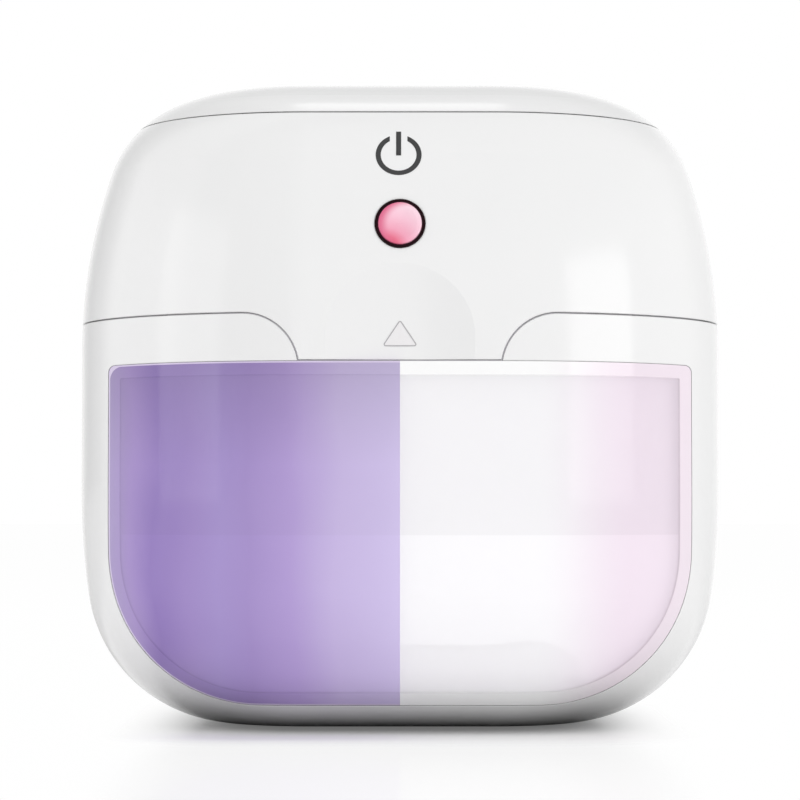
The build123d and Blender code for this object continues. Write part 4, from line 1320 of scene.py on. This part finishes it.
class LampKind(Enum):
    """Where each studio lamp stands."""

    KEY = "key"
    FILL = "fill"
    ACCENT = "accent"


@dataclass
class Studio:
    """Pale floor, soft light and the camera at the photograph's viewing angle.

    Attributes:
        eye_height: Height of the camera.
        eye_distance: How far the camera stands ahead of the case's middle.
        tilt: How far the camera looks up.
        lens_mm: Its focal length.
        sensor_mm: Width of its sensor.
        sky_level: Light that the surroundings give.
        sky_top: The same straight above, as a share.
        sky_rise: Slopes between which the light falls off to that share.
        gloss_top: Brightness straight above that gloss shows.
        gloss_rise: Slopes between which the brightness that gloss shows falls off to it.
        card_floor: Least brightness of a card's image in the floor.
        cards: Grey cards round the case that gloss shows, as turn from the rear in degrees and level.
        dark_half: Half sides of the rectangle under the case where the floor gives no light back.
        bounce_reach: Distance from it where the floor begins and ends to do so.
        bounce: Light that the floor gives back within that rectangle and beyond it.
        shade_half: Half sides of the rectangle under the case that is in shade.
        white_reach: Distance from it where the floor begins and ends to be plain white to the eye.
        shade_lift: Share of plain white within the shade.
        floor_gloss: Share of the floor that mirrors.
        floor_blur: Roughness of that mirror.
        floor_half: Half side of the floor.
        lamp_aim: Height on the case's middle line that the lamps look at.
        lamps: Place, size and power of each lamp.
    """

    eye_height: float = 0.0309
    eye_distance: float = 0.4383
    tilt: float = math.radians(2.113)
    lens_mm: float = 133.77
    sensor_mm: float = 36.0
    sky_level: float = 1.0
    sky_top: float = 0.76
    sky_rise: Pair = (0.2, 1.0)
    gloss_top: float = 0.55
    gloss_rise: Pair = (0.25, 0.6)
    card_floor: float = 0.55
    cards: tuple[Pair, ...] = (
        (-180.0, 1.0),
        (-176.0, 1.0),
        (-170.0, 0.2),
        (-118.0, 0.2),
        (-106.0, 1.0),
        (-64.0, 1.0),
        (-52.0, 0.15),
        (-36.0, 0.15),
        (-19.0, 0.95),
        (0.0, 1.0),
        (18.0, 1.0),
        (36.0, 0.75),
        (50.0, 0.75),
        (66.0, 1.0),
        (180.0, 1.0),
    )
    dark_half: Triple = (0.027, 0.018, 0.0)
    bounce_reach: Pair = (0.005, 0.02)
    bounce: Pair = (0.02, 0.88)
    shade_half: Triple = (0.022, 0.03, 0.0)
    white_reach: Pair = (0.001, 0.02)
    shade_lift: float = 0.16
    floor_gloss: float = 0.12
    floor_blur: float = 0.14
    floor_half: float = 6.0
    lamp_aim: float = 0.045
    lamps: dict[LampKind, tuple[Triple, float, float]] = field(
        default_factory=lambda: {
            LampKind.KEY: ((0.8, -0.56, 0.1), 0.6, 2.2),
            LampKind.FILL: ((-0.84, -0.48, 0.22), 0.6, 1.1),
            LampKind.ACCENT: ((0.0, 0.28, 0.94), 0.16, 0.13),
        }
    )

    def build(self) -> None:
        """Makes the floor, world, lamps and camera."""
        self.floor()
        self.world()
        for kind, (place, size, power) in self.lamps.items():
            self.lamp(kind, Vector(place), size, power)
        self.camera()

    def soft_step(self, add: Adder, value: Socket | Node, span: Pair, to: Pair) -> Node:
        """Adds a soft step from one value to another.

        Args:
            add: Adds a node to the tree.
            value: What it follows.
            span: Where the step begins and ends.
            to: Values before and after it.

        Returns:
            Node with the result.
        """
        return add(
            "ShaderNodeMapRange",
            {"Value": value, "From Min": span[0], "From Max": span[1], "To Min": to[0], "To Max": to[1]},
            interpolation_type="SMOOTHSTEP",
        )

    def card_level(self, add: Adder, way: Socket) -> Node:
        """Adds the brightness of the cards that stand in one direction from the case.

        Args:
            add: Adds a node to the tree.
            way: The direction.

        Returns:
            Node with the level.
        """
        axes = add("ShaderNodeSeparateXYZ", {0: way}).outputs
        turn = add("ShaderNodeMath", {0: axes["X"], 1: axes["Y"]}, operation="ARCTAN2")
        share = add("ShaderNodeMapRange", {"Value": turn, "From Min": -math.pi, "From Max": math.pi})
        stops = [((degrees + 180) / 360, (level, level, level, 1.0)) for degrees, level in self.cards]
        return fill_ramp(add("ShaderNodeValToRGB", {"Fac": share}), stops)

    def beyond(self, add: Adder, place: Socket, half: Triple) -> Node:
        """Adds the distance outside a rectangle round the origin.

        Args:
            add: Adds a node to the tree.
            place: Place in the frame.
            half: The rectangle's half sides.

        Returns:
            Node with the distance in metres.
        """
        size = add("ShaderNodeVectorMath", {0: place}, operation="ABSOLUTE")
        past = add("ShaderNodeVectorMath", {0: size, 1: half}, operation="SUBTRACT")
        out = add("ShaderNodeVectorMath", {0: past, 1: (0.0, 0.0, 0.0)}, operation="MAXIMUM")
        return add("ShaderNodeVectorMath", {0: out}, operation="LENGTH")

    def floor(self) -> None:
        """Makes the floor: plain white to the camera, with the case's shadow and faint reflection."""
        material = bpy.data.materials.new("studio floor")
        add = blank_nodes(material)
        place = add("ShaderNodeTexCoord").outputs["Object"]
        path = add("ShaderNodeLightPath").outputs
        camera, gloss = path["Is Camera Ray"], path["Is Glossy Ray"]
        seen = add("ShaderNodeMath", {0: camera, 1: gloss}, operation="MAXIMUM")
        near = self.beyond(add, place, self.dark_half)
        bounce = self.soft_step(add, near, self.bounce_reach, self.bounce)
        level = add("ShaderNodeMath", {0: bounce, 1: camera}, operation="MAXIMUM")
        matte = add("ShaderNodeBsdfDiffuse", {"Color": level})
        mirror = add("ShaderNodeBsdfGlossy", {"Color": linear(WHITE), "Roughness": self.floor_blur})
        cards = add(
            "ShaderNodeMath", {0: self.card_level(add, place), 1: self.card_floor}, operation="MAXIMUM"
        )
        shown = add("ShaderNodeMath", {0: cards, 1: camera}, operation="MAXIMUM")
        glow = add("ShaderNodeEmission", {"Color": linear(WHITE), "Strength": shown})
        shaded = add("ShaderNodeMixShader", {0: self.floor_gloss, 1: matte, 2: mirror})
        plain = add("ShaderNodeMixShader", {0: self.floor_gloss, 1: glow, 2: mirror})
        far = self.soft_step(add, self.beyond(add, place, self.shade_half), self.white_reach, (0.0, 1.0))
        lift = add("ShaderNodeMath", {0: camera, 1: self.shade_lift}, operation="MULTIPLY")
        lifted = add("ShaderNodeMath", {0: far, 1: lift}, operation="MAXIMUM")
        white = add("ShaderNodeMath", {0: lifted, 1: seen}, operation="MULTIPLY")
        whole = add("ShaderNodeMixShader", {0: white, 1: shaded, 2: plain})
        add("ShaderNodeOutputMaterial", {"Surface": whole})
        mesh = bpy.data.meshes.new("floor")
        half = self.floor_half
        corners = [(-half, -half, 0), (half, -half, 0), (half, half, 0), (-half, half, 0)]
        mesh.from_pydata(corners, [], [(0, 1, 2, 3)])
        floor = new_object("floor", mesh)
        floor.data.materials.append(material)

    def world(self) -> None:
        """Makes the surroundings: white to the camera, soft light, and grey cards that only gloss shows."""
        world = bpy.data.worlds.new("studio")
        add = blank_nodes(world)
        way = add("ShaderNodeTexCoord").outputs["Generated"]
        slope = add("ShaderNodeSeparateXYZ", {0: way}).outputs["Z"]
        path = add("ShaderNodeLightPath").outputs
        upwards = self.soft_step(add, slope, self.gloss_rise, (1.0, self.gloss_top))
        gloss = add("ShaderNodeMath", {0: self.card_level(add, way), 1: upwards}, operation="MULTIPLY")
        light = self.soft_step(add, slope, self.sky_rise, (self.sky_level, self.sky_level * self.sky_top))
        given = add(
            "ShaderNodeMix", {"Factor_Float": path["Is Glossy Ray"], "A_Float": light, "B_Float": gloss}
        )
        direct = add(
            "ShaderNodeMath",
            {0: path["Is Camera Ray"], 1: path["Is Transmission Ray"]},
            operation="MAXIMUM",
        )
        level = add("ShaderNodeMix", {"Factor_Float": direct, "A_Float": given, "B_Float": 1.0})
        sky = add("ShaderNodeBackground", {"Color": linear(WHITE), "Strength": level})
        add("ShaderNodeOutputWorld", {"Surface": sky})
        bpy.context.scene.world = world

    def lamp(self, kind: LampKind, place: Vector, size: float, power: float) -> None:
        """Makes one soft lamp that looks at the case.

        Args:
            kind: Which lamp it is.
            place: Where it stands.
            size: Side of its square face.
            power: Its power in watts.
        """
        data = bpy.data.lights.new(kind.value, "AREA")
        data.size, data.energy = size, power
        lamp = bpy.data.objects.new(kind.value, data)
        lamp.location = place
        lamp.rotation_euler = (Vector((0, 0, self.lamp_aim)) - place).to_track_quat("-Z", "Y").to_euler()
        bpy.context.scene.collection.objects.link(lamp)

    def camera(self) -> None:
        """Makes the camera, low in front of the case and tilted up a little."""
        data = bpy.data.cameras.new("camera")
        data.lens, data.sensor_width = self.lens_mm, self.sensor_mm
        camera = bpy.data.objects.new("camera", data)
        camera.location = (0, -self.eye_distance, self.eye_height)
        camera.rotation_euler = (math.pi / 2 + self.tilt, 0, 0)
        bpy.context.scene.collection.objects.link(camera)
        bpy.context.scene.camera = camera


def main() -> None:
    """Builds the looks of the case."""
    logging.basicConfig(level=logging.INFO, format="%(message)s")
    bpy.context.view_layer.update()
    pattern = RowPattern()
    Studio().build()
    Casing().build()
    FootPad().build(pattern)
    ButtonUnit().build()
    FrontMarks().build()
    Electronics().build(pattern)
    bpy.context.scene.view_settings.view_transform = "Standard"


if __name__ == "__main__":
    main()
